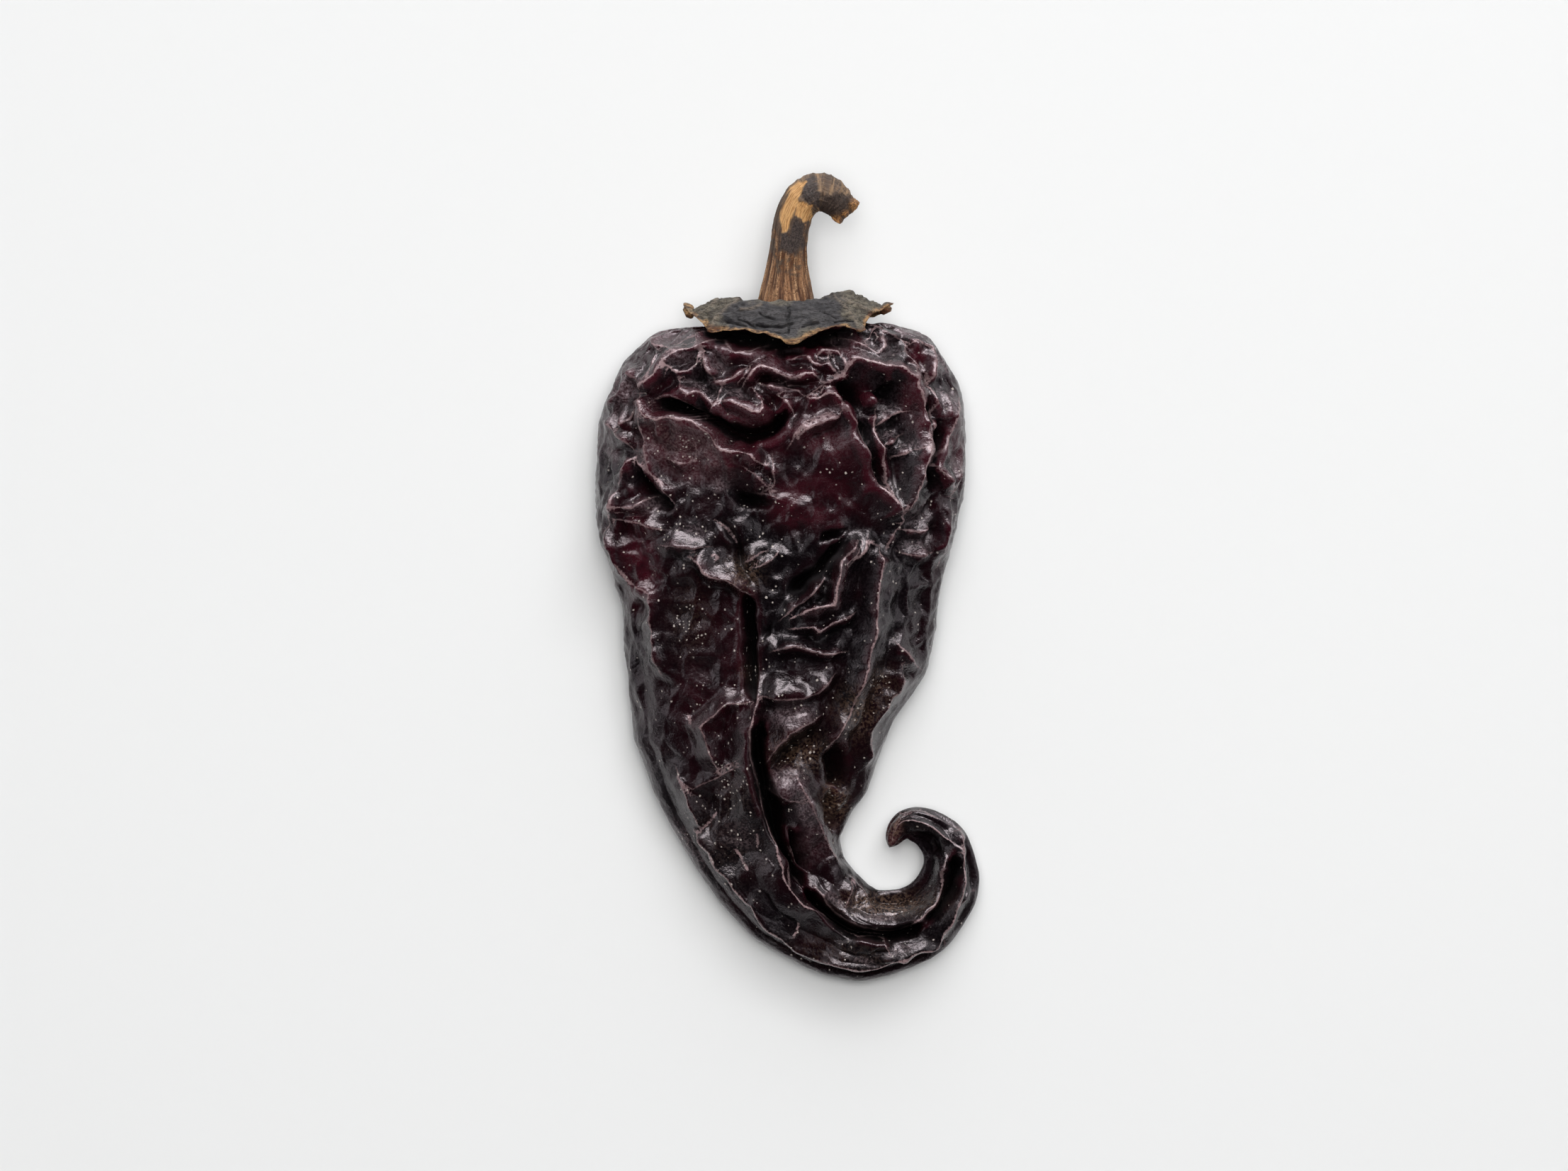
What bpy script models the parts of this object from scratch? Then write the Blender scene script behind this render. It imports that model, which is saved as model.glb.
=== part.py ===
"""A dried ancho chili pod lying on its flatter side.

Three solids: the wrinkled pod, the papery calyx on its shoulder and the woody
stem that curls over to one side. +Z is up, +Y runs towards the stem, and the
origin is the middle of the footprint. The tables below are in millimetres.
"""
import bmesh
import bpy
import numpy as np

MILLIMETRE = 0.001

# Pod sections from the shoulder to the tip of the tail. Each row is one section:
# left rail x, y and right rail x, y, where the outline is widest seen from above.
POD_RAILS = (
    (0.0, 44.2, 0.0, 44.2), (-6.5, 44.0, 6.5, 44.3), (-12.0, 43.8, 12.0, 44.5),
    (-18.0, 44.1, 17.5, 44.9), (-23.5, 43.4, 22.0, 43.6), (-26.0, 41.2, 24.8, 42.2),
    (-28.0, 39.0, 27.0, 39.3), (-29.6, 36.8, 28.6, 36.3), (-31.0, 33.2, 30.2, 33.2),
    (-32.4, 30.2, 30.6, 30.0), (-33.2, 27.0, 30.8, 27.0), (-33.5, 22.0, 31.1, 21.5),
    (-33.8, 17.0, 31.0, 16.5), (-33.8, 12.0, 29.8, 11.5), (-33.0, 6.5, 28.6, 6.0),
    (-31.3, 2.3, 27.2, 1.0), (-29.8, -3.5, 26.4, -4.0), (-29.0, -10.0, 25.6, -10.0),
    (-28.6, -16.0, 24.3, -16.3), (-27.7, -23.0, 21.2, -21.2), (-27.3, -28.0, 17.8, -26.5),
    (-25.4, -33.0, 15.7, -32.0), (-23.4, -38.5, 13.6, -38.0), (-20.6, -44.0, 10.8, -41.5),
    (-17.0, -50.0, 8.9, -46.0), (-12.5, -56.7, 9.6, -49.2), (-6.5, -63.2, 11.8, -52.0),
    (0.0, -67.2, 14.0, -54.2), (6.5, -70.3, 16.0, -55.2), (12.5, -71.3, 17.8, -55.2),
    (18.5, -70.0, 19.6, -55.0), (24.0, -67.9, 21.2, -54.4), (28.0, -65.3, 22.5, -53.3),
    (31.2, -60.8, 23.5, -51.8), (33.3, -57.0, 24.0, -50.4), (33.8, -52.5, 23.9, -49.0),
    (32.6, -48.0, 23.3, -47.6), (31.0, -44.2, 22.4, -46.7), (28.0, -42.0, 21.3, -46.3),
    (24.0, -40.3, 21.0, -46.0), (20.5, -40.5, 20.6, -46.2), (18.0, -42.2, 20.0, -46.6),
    (17.1, -44.8, 19.5, -47.0), (17.0, -46.3, 18.9, -47.4), (17.8, -47.6, 17.8, -47.6),
)
# Heights at some of those sections: section number, underside, widest level, top.
POD_HEIGHTS = (
    (0, 12.0, 12.0, 12.0), (1, 6.0, 11.5, 15.0), (2, 4.0, 11.0, 17.0), (3, 2.8, 10.5, 18.6),
    (5, 1.8, 9.5, 21.4), (7, 1.2, 9.0, 23.6), (10, 1.0, 9.0, 24.6), (14, 1.0, 9.0, 24.0),
    (18, 1.0, 8.5, 21.5), (22, 1.0, 7.5, 18.5), (25, 1.2, 6.5, 15.5), (29, 1.6, 6.0, 13.8),
    (33, 2.2, 6.5, 12.8), (37, 3.2, 6.8, 11.5), (40, 4.0, 6.8, 10.2), (42, 4.6, 6.8, 9.4),
    (44, 6.8, 6.8, 6.8),
)
POD_AROUND = 64             # vertices round a section
POD_ALONG = 86              # sections along the pod
POD_TOP_SHARE = 0.62        # share of the vertices of a section that lie above the rails
SECTION_EVENNESS = 0.3      # spreads the vertices of a section evenly across it
POD_TOP_FULLNESS = 0.72     # below 1 the section is boxier than an ellipse
POD_UNDER_FULLNESS = 0.62

# Crests of the folds seen from above: height, reach to the left and to the right of the
# crest's direction, then its x, y points. A short reach makes that side a steep drop.
CRESTS = (
    (2.2, 1.8, 1.8, (-26, 32.3, -23.5, 34.5, -21.5, 36.8, -18.7, 39.7, -15.5, 41, -11.8, 41.4,
                     -9, 39.6, -4.8, 40.4)),
    (1.6, 1.4, 1.4, (-15.5, 41, -15.2, 38, -17, 36, -19.5, 36.3, -20.5, 37.8)),
    (1.8, 1.4, 1.4, (-14.8, 40.5, -14, 37, -12.5, 34.5, -9.8, 34.8, -7, 36.8)),
    (1.7, 1.3, 1.3, (-11, 34.3, -12.7, 29.9, -15, 32.3, -17, 31.8, -18.5, 34.5)),
    (1.4, 1.2, 0.9, (-22.8, 31.8, -18, 30.8, -15, 28.8)),
    (2.6, 1.0, 3.0, (-26, 32.3, -24.7, 29.7, -22, 27.7, -18, 27.6, -15, 26.4, -12.4, 23.5,
                     -8.5, 22.2, -4.3, 20)),
    (2.0, 1.8, 0.9, (-12, 30.8, -9, 30.7, -6, 29, -4.4, 29.5, -6, 32.8)),
    (1.7, 1.4, 1.4, (-8, 33.8, -5.2, 37, -1, 35.3, 3, 35.6, 5.5, 34.5)),
    (1.6, 1.4, 1.4, (-26, 32.3, -28.2, 28, -29.6, 26)),
    (1.4, 1.3, 1.3, (-33, 28, -30.5, 25.8, -27.5, 22.8)),
    (1.2, 1.2, 1.2, (-32.3, 29.5, -29.6, 32.3, -29.6, 35.5)),
    (1.5, 1.4, 1.4, (-25.3, 28.7, -25.2, 24.5, -24.2, 20, -22.2, 16.5)),
    (1.2, 1.2, 1.2, (-24.5, 42.8, -21, 40.4, -19, 39.8)),
    (1.4, 1.2, 1.2, (1.2, 38.4, 4.2, 37.5, 6.8, 37.5, 9.5, 35.3)),
    (1.4, 1.2, 1.2, (5.3, 39, 7.5, 39.8, 9.5, 38.3, 9.7, 35.8)),
    (1.6, 1.3, 1.3, (8.7, 41, 10.5, 41.8, 14, 40.2, 16.2, 40.3, 17, 43)),
    (1.2, 1.2, 1.2, (15, 44.2, 18, 42.8, 20.2, 41.8)),
    (1.7, 1.3, 1.3, (20.8, 40.8, 23, 41.1, 25.2, 37.2, 24.6, 34)),
    (1.3, 1.2, 1.2, (20.8, 40.8, 21, 38.8, 24, 35)),
    (2.6, 1.8, 2.4, (9.7, 35.8, 10.8, 38.3, 15, 37.4, 19.5, 35.9, 21.2, 35.4, 23.1, 30.7,
                     23.9, 26.5, 23.3, 20, 21, 13.5, 19.5, 11)),
    (1.4, 1.0, 1.0, (25, 33.5, 25.7, 31, 25.1, 25, 24, 20.5)),
    (1.8, 1.4, 1.4, (30.3, 32.2, 28.7, 27, 26.6, 22, 25.3, 20, 27.8, 17, 28.9, 15.7)),
    (1.6, 1.8, 0.9, (15.3, 26.3, 18.5, 28.6, 21, 29.3)),
    (1.3, 1.5, 0.9, (18.8, 21.2, 21.5, 22.5, 23, 23)),
    (1.8, 1.4, 1.4, (15.8, 29.5, 14.8, 26, 16.3, 21, 17.4, 16, 19.7, 10.4)),
    (1.4, 1.3, 1.3, (2.8, 31.8, 6.5, 34, 9.3, 35.2)),
    (2.3, 1.2, 2.2, (2.8, 31.8, 5.5, 31.5, 7.5, 32.3, 10, 29.5, 12.2, 25.3, 13.8, 20.2, 15.2, 16.5,
                     19.6, 10.6)),
    (1.8, 2.2, 0.9, (1.7, 24.5, 4.5, 26.7, 8.3, 28, 9.5, 29.7)),
    (1.4, 1.3, 1.3, (-5, 34, -2, 33.2, 2.5, 32)),
    (1.7, 1.8, 1.6, (-26.8, 21, -28.9, 18, -30.4, 12, -31.7, 8, -28.2, -0.5)),
    (1.4, 1.4, 1.4, (-26.8, 21, -24, 18.5, -20.8, 13.5)),
    (1.3, 1.3, 0.9, (-30, 12.3, -26.5, 12.3, -24.5, 14)),
    (1.2, 1.2, 1.2, (-29.8, 10.2, -25, 9.3, -23, 8.8)),
    (1.3, 1.4, 1.4, (28.7, 13.5, 27.3, 6.5, 26.7, 3)),
    (1.8, 2.2, 0.9, (-16.7, 3.5, -14.3, 1, -10.5, -0.5, -7.4, -2.4)),
    (1.4, 0.9, 1.4, (-7, 18.9, -4.5, 17, -2.5, 15.6)),
    (1.4, 1.8, 1.4, (-27.8, -1, -24.8, -3, -24, -8, -23, -16)),
    (2.2, 2.4, 0.9, (12, 6.3, 9.8, 4, 8.6, 2, 7.8, -3.8, 6, -5, 0.8, -6.9)),
    (1.8, 2.0, 1.4, (16.1, 4.5, 15.5, -4, 14.6, -11, 12, -19.5, 9.5, -25.5, 7.3, -29.5)),
    (1.6, 0.9, 1.6, (-0.5, -6.5, 2.5, -4, 6, -0.5)),
    (1.6, 1.8, 0.9, (1.2, -8.7, 5, -9.3, 11, -6.5)),
    (1.3, 1.6, 0.9, (-2, -12.6, 1, -12, 4, -12.8, 9.5, -13)),
    (1.6, 2.2, 0.9, (-4.2, -20.6, 2, -21.2, 5, -20.2, 7.5, -17.5)),
    (2.0, 0.9, 2.6, (5, -24.6, 0, -27, -3.4, -31.5)),
    (1.6, 1.4, 1.4, (-7, -21.5, -10.5, -21.9, -15.5, -26.2, -14.5, -28.5, -12.8, -33.5)),
    (2.6, 0.9, 2.6, (-5.4, -21, -6.7, -27, -6.3, -33, -4.7, -40, -3, -45, -1.2, -51, 0, -54.7,
                     4.2, -58.3, 9.3, -61.6, 14, -63.1, 17.6, -65.5)),
    (1.4, 1.5, 1.5, (-20, -34.5, -18, -40, -16.2, -44.5)),
    (2.0, 1.6, 2.2, (1.2, -35, 3.5, -40, 5.5, -44, 9, -50)),
    (2.0, 2.6, 0.9, (-3.5, -37, 0, -38.8, 2, -39.2)),
    (1.3, 1.3, 1.3, (20, -12, 20.3, -18, 15, -27, 14.3, -33)),
    (2.2, 2.2, 0.9, (-17, -44.8, -13.3, -50, -9.3, -54.5, -5.5, -59, 1, -65.3, 7.5, -68, 14, -68.8,
                     20, -67, 26.3, -64.8, 29.6, -58, 31.2, -50, 30.2, -44)),
    (2.2, 1.4, 0.9, (5, -54.5, 8.5, -58.5, 14, -61.5, 19.5, -61.7, 25, -58.3, 27.8, -49.5)),
    (1.3, 1.1, 1.1, (18.8, -44.7, 22, -42.6, 26.8, -45, 31, -47.7)),
)
# Sunk creases between the folds: depth, reach, steepness of the walls (2 is a soft valley,
# 3 a slit), then the crease's x, y points.
CREASES = (
    (4.2, 1.1, 3, (-22.8, 31.2, -17, 28.9, -11, 26.3, -5, 25.2, -2.8, 26, -0.5, 29.3)),
    (1.5, 1.5, 2, (-27, 19.5, -24.5, 15, -20.5, 12.9)),
    (1.1, 1.5, 2, (-10.5, 14.8, -6, 13.8, -2.5, 13.5)),
    (4.4, 1.5, 2, (8.2, 33.6, 10.2, 33, 11.6, 31.6, 12.3, 29.8)),
    (2.2, 1.3, 2, (19.5, 34, 15.5, 32)),
    (2.4, 1.1, 2, (11.9, 28, 14.2, 22, 17.6, 15)),
    (3.6, 1.1, 3, (26.6, 28, 26.4, 25, 24.8, 19)),
    (2.2, 1.3, 2, (24.8, 19.5, 27, 15.6)),
    (2.2, 1.1, 2, (5.5, 6.3, 10.3, 8.4)),
    (2.6, 1.2, 2, (0, -2.5, 5.6, 1.2, 10.3, 6.4)),
    (3.8, 1.1, 3, (-7.3, -2.5, -7, -12, -7, -19, -5.9, -21.5)),
    (2.2, 1.6, 2, (-4.6, -8.5, -3.2, -10)),
    (4.6, 1.2, 3, (-4.6, -25, -5.8, -31, -4.2, -37, -2, -43, 1.2, -50, 3, -54, 7, -58.7,
                   11, -61.9, 18, -62.9, 24, -60.8)),
    (3.6, 1.1, 2, (0.2, -44, 4, -51)),
    (3.4, 1.1, 2, (24, -60.8, 28.5, -55, 29.6, -48.5)),
    (1.8, 1.5, 2, (6.5, -26.6, 1.5, -29.4, -2.5, -32.6)),
    (3.4, 1.7, 2, (8.8, -29, 9.7, -34.5, 10.8, -37)),
    (2.0, 1.1, 2, (8.2, -37, 8.6, -45)),
    (2.0, 1.4, 2, (22, -45.3, 27, -48.5)),
    (4.5, 1.5, 3, (-15, 42.9, -8, 42, 0, 41, 7, 42, 12, 42.8)),
)
# Rounded lobes: x, y, radius along and across, turn in degrees, height.
LOBES = (
    (-8.0, 28.5, 5.6, 2.9, -8, 2.0), (-17.5, 32.6, 3.4, 2.2, -30, 0.9),
    (14.4, 31.0, 1.5, 1.5, 0, 2.4), (-0.5, -18.6, 4.4, 2.6, 0, 0.9),
    (4.8, -16.0, 3.6, 4.4, 0, 0.9), (-0.6, -35.6, 3.4, 3.2, 20, 0.8),
    (2.6, -44.5, 3.4, 7.0, -28, 1.2), (9.0, -52.5, 3.2, 4.2, 40, 1.2),
    (18.5, -58.6, 7.0, 2.8, 0, 1.2), (-9.5, -40.5, 5.0, 8.0, -12, 1.2),
    (-4.0, -54.0, 4.0, 7.0, 40, 1.2), (13.0, -65.6, 7.0, 2.2, -2, 0.9),
    (0.5, 12.0, 4.0, 3.4, 0, 0.9), (-27.3, 34.8, 2.0, 3.4, 25, 0.9),
    (27.0, 30.6, 1.6, 4.0, 8, 1.0), (9.0, 22.0, 4.0, 5.0, -20, 0.9),
    (-21.0, 23.5, 3.4, 3.4, 0, 0.7),
)
# Broad hollows and swells of the upper skin: x, y, radius, height.
SWELLS = (
    (17.5, 29.0, 6.0, -2.2), (17.0, 18.0, 3.5, -1.6), (-21.0, 36.0, 5.0, 1.0),
    (-2.0, 8.0, 8.0, -1.2), (-16.0, 8.0, 8.0, 1.0), (8.0, 20.0, 6.0, 0.8),
    (-14.0, -40.0, 6.0, -1.2), (1.0, -24.0, 5.0, 1.8), (1.0, -37.0, 4.0, 1.4),
    (19.0, -57.0, 4.0, -1.6), (7.0, -64.5, 4.0, -1.2), (26.0, -55.0, 3.0, -0.8),
)
# Places where the pod touches the surface it lies on: x, y, radius of the bump.
PADS = ((-17.0, 22.0, 6.0), (16.0, 24.0, 6.0), (-5.0, -24.0, 6.0), (12.0, -63.0, 3.5))
PAD_DEPTH = 3.0
SKIN_CELL = (8.5, 11.0, 7.0)     # size of one wrinkle cell, across, along and through
SKIN_RELIEF = 1.5
FINE_CELL = (4.5, 5.5, 4.0)
FINE_RELIEF = 0.6
CELL_SHARPNESS = 2.6        # how steeply a wrinkle cell falls away from its border
CREST_PULL = 0.65           # share of the way that a vertex beside a crest moves onto it
CREST_PULL_REACH = 1.3
CREST_GAIN = 1.35
CREST_SPREAD = 1.7          # widens every reach of the crests
CREST_ROUND = 0.7           # rounds the top of a crest
CREASE_GAIN = 0.95
CREASE_WIDTH = 1.3          # least reach of a crease
LOWERING = 1.6              # sinks the skin between the crests
SIDE_SHARE = 0.6            # share of the relief that moves the flanks outwards
CALM_SPAN = (-46.0, -24.0)  # y from which the tail is smoother than the shoulders
CALM_SHARE = 0.35
SIDE_CELL = (9.0, 9.0, 7.0)
SIDE_RELIEF = 2.2

# Calyx: the crumpled umbrella on the shoulder. Each row is one spoke, clockwise seen
# from the stem: turn in degrees from +X towards +Z, crest x, y, z and rim x, y, z.
CALYX_HUB = (-0.3, 48.3, 13.0)
CALYX_SPOKES = (
    (0, 14.5, 47.8, 13.0, 17.4, 46.9, 12.6), (18, 12.8, 48.8, 16.0, 15.6, 45.9, 17.2),
    (36, 11.0, 49.4, 18.2, 12.8, 42.9, 20.4), (52, 8.0, 48.9, 19.6, 9.5, 43.5, 22.2),
    (72, 4.6, 48.2, 20.2, 5.0, 42.5, 23.4), (86, 0.6, 48.0, 20.4, 1.2, 40.8, 23.8),
    (100, -3.2, 48.0, 20.4, -3.6, 42.1, 23.4), (122, -8.0, 48.2, 19.6, -9.0, 43.1, 22.0),
    (142, -11.2, 48.5, 18.0, -13.4, 43.0, 19.8), (160, -13.4, 48.2, 16.0, -16.2, 46.0, 16.0),
    (180, -15.2, 47.2, 13.0, -17.9, 47.0, 12.4), (205, -12.6, 47.6, 9.0, -15.0, 46.2, 7.4),
    (235, -8.0, 47.8, 6.2, -9.0, 45.9, 4.0), (270, 0.0, 47.9, 5.4, 0.4, 45.9, 2.8),
    (305, 8.0, 47.9, 6.4, 9.2, 45.8, 4.2), (335, 12.6, 47.8, 9.2, 15.4, 46.2, 7.8),
)
CALYX_THICKNESS = 1.2
CALYX_SEAT_DEPTH = 1.5      # how far the middle is sunk to take the foot of the stem
CALYX_AROUND = 56
CALYX_ALONG = 20

# Stem: centre line x, y, z and radius from its foot on the calyx to its torn end.
STEM_LINE = (
    (-0.4, 48.1, 13.4, 4.9), (-0.4, 50.2, 13.9, 4.5), (-0.3, 52.5, 14.6, 3.9),
    (-0.1, 55.5, 15.6, 3.4), (0.1, 58.5, 16.8, 3.15), (0.6, 61.6, 17.6, 3.15),
    (1.3, 64.2, 18.3, 3.2), (2.8, 66.5, 18.9, 3.25), (5.0, 67.8, 19.2, 3.25),
    (7.0, 67.3, 18.9, 3.2), (8.3, 66.2, 18.2, 3.15), (9.0, 65.0, 17.0, 3.05),
)
STEM_RIBS = 8
STEM_RIB_HEIGHT = 0.34
STEM_AROUND = 32
STEM_ALONG = 38


def remove_everything():
    for item in list(bpy.data.objects):
        bpy.data.objects.remove(item, do_unlink=True)


def hashed(cells, seed):
    """One repeatable random number from 0 to 1 for each whole-numbered cell."""
    mixed = cells[:, 0] * 127.1 + cells[:, 1] * 311.7 + cells[:, 2] * 74.7 + seed * 19.19
    return np.modf(np.abs(np.sin(mixed) * 43758.5453))[0]


def cell_crests(points, cell, seed):
    """A net of sharp crests along the borders of jittered cells: 1 on a crest, 0 inside."""
    scaled = points / np.array(cell)
    home = np.floor(scaled)
    nearest = np.full(len(points), 9.0)
    second = np.full(len(points), 9.0)
    for dx in (-1, 0, 1):
        for dy in (-1, 0, 1):
            for dz in (-1, 0, 1):
                corner = home + np.array((dx, dy, dz))
                jitter = np.stack([hashed(corner, seed + k) for k in range(3)], axis=1)
                away = np.linalg.norm(corner + jitter - scaled, axis=1)
                second = np.minimum(second, np.maximum(nearest, away))
                nearest = np.minimum(nearest, away)
    return np.exp(-(second - nearest) * CELL_SHARPNESS)


def eased(place, knots, values, spread):
    """Straight runs between the knots, with each corner rounded over the spread."""
    shifts = np.linspace(-spread, spread, 5)
    return np.mean([np.interp(place + shift, knots, values) for shift in shifts], axis=0)


def way_to_route(spots, flat_route):
    """The way in plan from each spot to a route given as x, y, x, y and so on.

    Gives the distance, the way, the side from -1 (right) to 1 (left of the route) and
    how far the nearest point is from either end of the route.
    """
    route = np.array(flat_route, dtype=float).reshape(-1, 2)
    lengths = np.linalg.norm(np.diff(route, axis=0), axis=1)
    marks = np.concatenate(([0.0], np.cumsum(lengths)))
    best = np.full(len(spots), 1e9)
    ways = np.zeros((len(spots), 2))
    side = np.zeros(len(spots))
    place = np.zeros(len(spots))
    for k in range(len(lengths)):
        step = route[k + 1] - route[k]
        rel = spots - route[k]
        share = np.clip(rel @ step / (step @ step), 0.0, 1.0)
        way = share[:, None] * step - rel
        away = np.linalg.norm(way, axis=1)
        offset = (step[0] * rel[:, 1] - step[1] * rel[:, 0]) / lengths[k]
        closer = away < best
        best = np.where(closer, away, best)
        ways = np.where(closer[:, None], way, ways)
        side = np.where(closer, offset / np.maximum(away, 1e-6), side)
        place = np.where(closer, marks[k] + share * lengths[k], place)
    from_end = np.minimum(place, marks[-1] - place)
    return best, ways, np.clip(side, -1.0, 1.0), from_end


def crest_height(plan):
    """The highest crest: each falls away by 1 - tanh(distance / reach) and fades at its ends."""
    crest = np.zeros(len(plan))
    for height, left, right, route in CRESTS:
        near, _, side, from_end = way_to_route(plan, route)
        near = np.sqrt(near ** 2 + CREST_ROUND ** 2) - CREST_ROUND
        reach = CREST_SPREAD * (right + (left - right) * (0.5 + 0.5 * side))
        top = CREST_GAIN * height * np.minimum(1.0, 0.45 + from_end / 3.0)
        crest = np.maximum(crest, top * (1.0 - np.tanh(near / reach)))
    return crest


def crease_depth(plan):
    """The deepest crease: each is exp(-(distance / reach) ^ steepness), shallow at its ends."""
    crease = np.zeros(len(plan))
    for depth, reach, steepness, route in CREASES:
        near, _, _, from_end = way_to_route(plan, route)
        fade = np.minimum(1.0, 0.1 + from_end / 2.4)
        narrow = np.maximum(CREASE_WIDTH, reach * (0.35 + 0.65 * fade))
        crease = np.maximum(crease, CREASE_GAIN * depth * fade * np.exp(-(near / narrow) ** steepness))
    return crease


def lobe_height(plan):
    """The highest lobe: height (1 - r^2)^0.7, where r is 1 on the turned ellipse's edge."""
    lobes = np.zeros(len(plan))
    for x, y, long_radius, short_radius, degrees, height in LOBES:
        turn = np.radians(degrees)
        east, north = plan[:, 0] - x, plan[:, 1] - y
        along = (east * np.cos(turn) + north * np.sin(turn)) / long_radius
        across = (north * np.cos(turn) - east * np.sin(turn)) / short_radius
        inside = np.maximum(0.0, 1.0 - along ** 2 - across ** 2)
        lobes = np.maximum(lobes, height * inside ** 0.7)
    return lobes


def drawn_to_crests(plan, strength):
    """Spots near a crest move most of the way onto it, so that the crest stays sharp."""
    best = np.full(len(plan), 1e9)
    ways = np.zeros((len(plan), 2))
    for _, _, _, route in CRESTS:
        length, way = way_to_route(plan, route)[:2]
        closer = length < best
        best = np.where(closer, length, best)
        ways = np.where(closer[:, None], way, ways)
    pull = CREST_PULL * strength * np.exp(-(best / CREST_PULL_REACH) ** 2)
    return plan + pull[:, None] * ways


def mapped_sphere(name, around, along, place):
    """A sphere primitive whose vertices are moved to place(along share, around share)."""
    grid = bmesh.new()
    bmesh.ops.create_uvsphere(grid, u_segments=around, v_segments=along, radius=1.0)
    rest = np.array([vertex.co[:] for vertex in grid.verts])
    along_share = np.arccos(np.clip(rest[:, 2], -1.0, 1.0)) / np.pi
    around_share = np.mod(np.arctan2(rest[:, 1], rest[:, 0]) / (2.0 * np.pi) + 1.0, 1.0)
    moved = place(along_share, around_share) * MILLIMETRE
    for vertex, spot in zip(grid.verts, moved):
        vertex.co = spot
    bmesh.ops.triangulate(grid, faces=grid.faces[:])
    bmesh.ops.recalc_face_normals(grid, faces=grid.faces[:])
    mesh = bpy.data.meshes.new(name)
    grid.to_mesh(mesh)
    grid.free()
    mesh.shade_smooth()
    return bpy.data.objects.new(name, mesh)


def rail_lengths():
    """The share of the pod's length at which each section stands."""
    rails = np.array(POD_RAILS)
    steps = np.diff(rails, axis=0)
    mean_step = 0.5 * (np.hypot(steps[:, 0], steps[:, 1]) + np.hypot(steps[:, 2], steps[:, 3]))
    marks = np.concatenate(([0.0], np.cumsum(mean_step)))
    return marks / marks[-1]


def section_angle(around_share):
    """Angle round a section, with more of the vertices above the rails than below."""
    above = around_share < POD_TOP_SHARE
    share = np.where(above, around_share / POD_TOP_SHARE,
                     (around_share - POD_TOP_SHARE) / (1.0 - POD_TOP_SHARE))
    share = share + SECTION_EVENNESS * np.sin(2.0 * np.pi * share) / (2.0 * np.pi)
    return np.pi * (share + np.where(above, 0.0, 1.0))


def pod_base(along_share, around_share):
    """The smooth flattened pod: sections between two rails, boxier than an ellipse."""
    marks = rail_lengths()
    rails = np.array(POD_RAILS)
    left_x, left_y, right_x, right_y = (eased(along_share, marks, rails[:, k], 0.006) for k in range(4))
    ends = np.minimum(along_share, 1.0 - along_share) < 1e-6
    pole = np.where(along_share < 0.5, 0, len(rails) - 1)
    left_x, left_y = np.where(ends, rails[pole, 0], left_x), np.where(ends, rails[pole, 1], left_y)
    right_x, right_y = np.where(ends, rails[pole, 0], right_x), np.where(ends, rails[pole, 1], right_y)
    heights = np.array(POD_HEIGHTS)
    height_marks = marks[heights[:, 0].astype(int)]
    under, level, top = (eased(along_share, height_marks, heights[:, k], 0.012) for k in (1, 2, 3))
    angle = section_angle(around_share)
    across = 0.5 * (1.0 + np.cos(angle))
    rise = np.abs(np.sin(angle))
    lifted = level + (top - level) * rise ** POD_TOP_FULLNESS
    sunk = level - (level - under) * rise ** POD_UNDER_FULLNESS
    height = np.where(np.sin(angle) >= 0.0, lifted, sunk)
    height = np.where(ends, level, height)
    spots = np.stack((left_x + (right_x - left_x) * across,
                      left_y + (right_y - left_y) * across, height), axis=1)
    outward = np.stack((right_x - left_x, right_y - left_y), axis=1)
    outward /= np.maximum(np.linalg.norm(outward, axis=1), 1e-6)[:, None]
    return spots, outward * np.cos(angle)[:, None]


def pod_place(along_share, around_share):
    """The pod with its folds: traced crests and creases on top, wrinkle cells all round."""
    spots, outward = pod_base(along_share, around_share)
    angle = section_angle(around_share)
    upper = np.clip(np.sin(angle) * 1.6, 0.0, 1.0)
    lower = np.clip(-np.sin(angle) * 1.6, 0.0, 1.0)
    ends = np.clip(np.minimum(along_share, 1.0 - along_share) * 16.0, 0.0, 1.0)
    spots[:, :2] = drawn_to_crests(spots[:, :2], upper * ends)
    plan = spots[:, :2].copy()
    swell = np.zeros(len(spots))
    for x, y, radius, height in SWELLS:
        away = np.hypot(plan[:, 0] - x, plan[:, 1] - y)
        swell = swell + height * np.exp(-(away / radius) ** 2)
    wrinkles = SKIN_RELIEF * (cell_crests(spots, SKIN_CELL, 3) - 0.5)
    fine = FINE_RELIEF * (cell_crests(spots, FINE_CELL, 11) - 0.5)
    side = SIDE_RELIEF * (cell_crests(spots, SIDE_CELL, 23) - 0.9)
    calm = np.interp(plan[:, 1], CALM_SPAN, (CALM_SHARE, 1.0))
    folds = crest_height(plan) - crease_depth(plan) + lobe_height(plan)
    relief = ends * upper * (folds + swell - LOWERING + calm * fine)
    spots[:, 2] += relief
    spots[:, :2] += SIDE_SHARE * relief[:, None] * outward
    spots[:, 2] -= ends * lower * (wrinkles + fine)
    side = calm * side
    off_rail = 0.25 + 0.75 * np.clip(np.abs(np.sin(angle)) * 2.2, 0.0, 1.0)
    spots[:, :2] += (ends * off_rail * (1.0 - 0.7 * upper) * side)[:, None] * outward
    for x, y, radius in PADS:
        away = np.hypot(plan[:, 0] - x, plan[:, 1] - y)
        spots[:, 2] -= lower * PAD_DEPTH * np.exp(-(away / radius) ** 2)
    spots[:, 2] = np.maximum(spots[:, 2], 0.0)
    return spots


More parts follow.
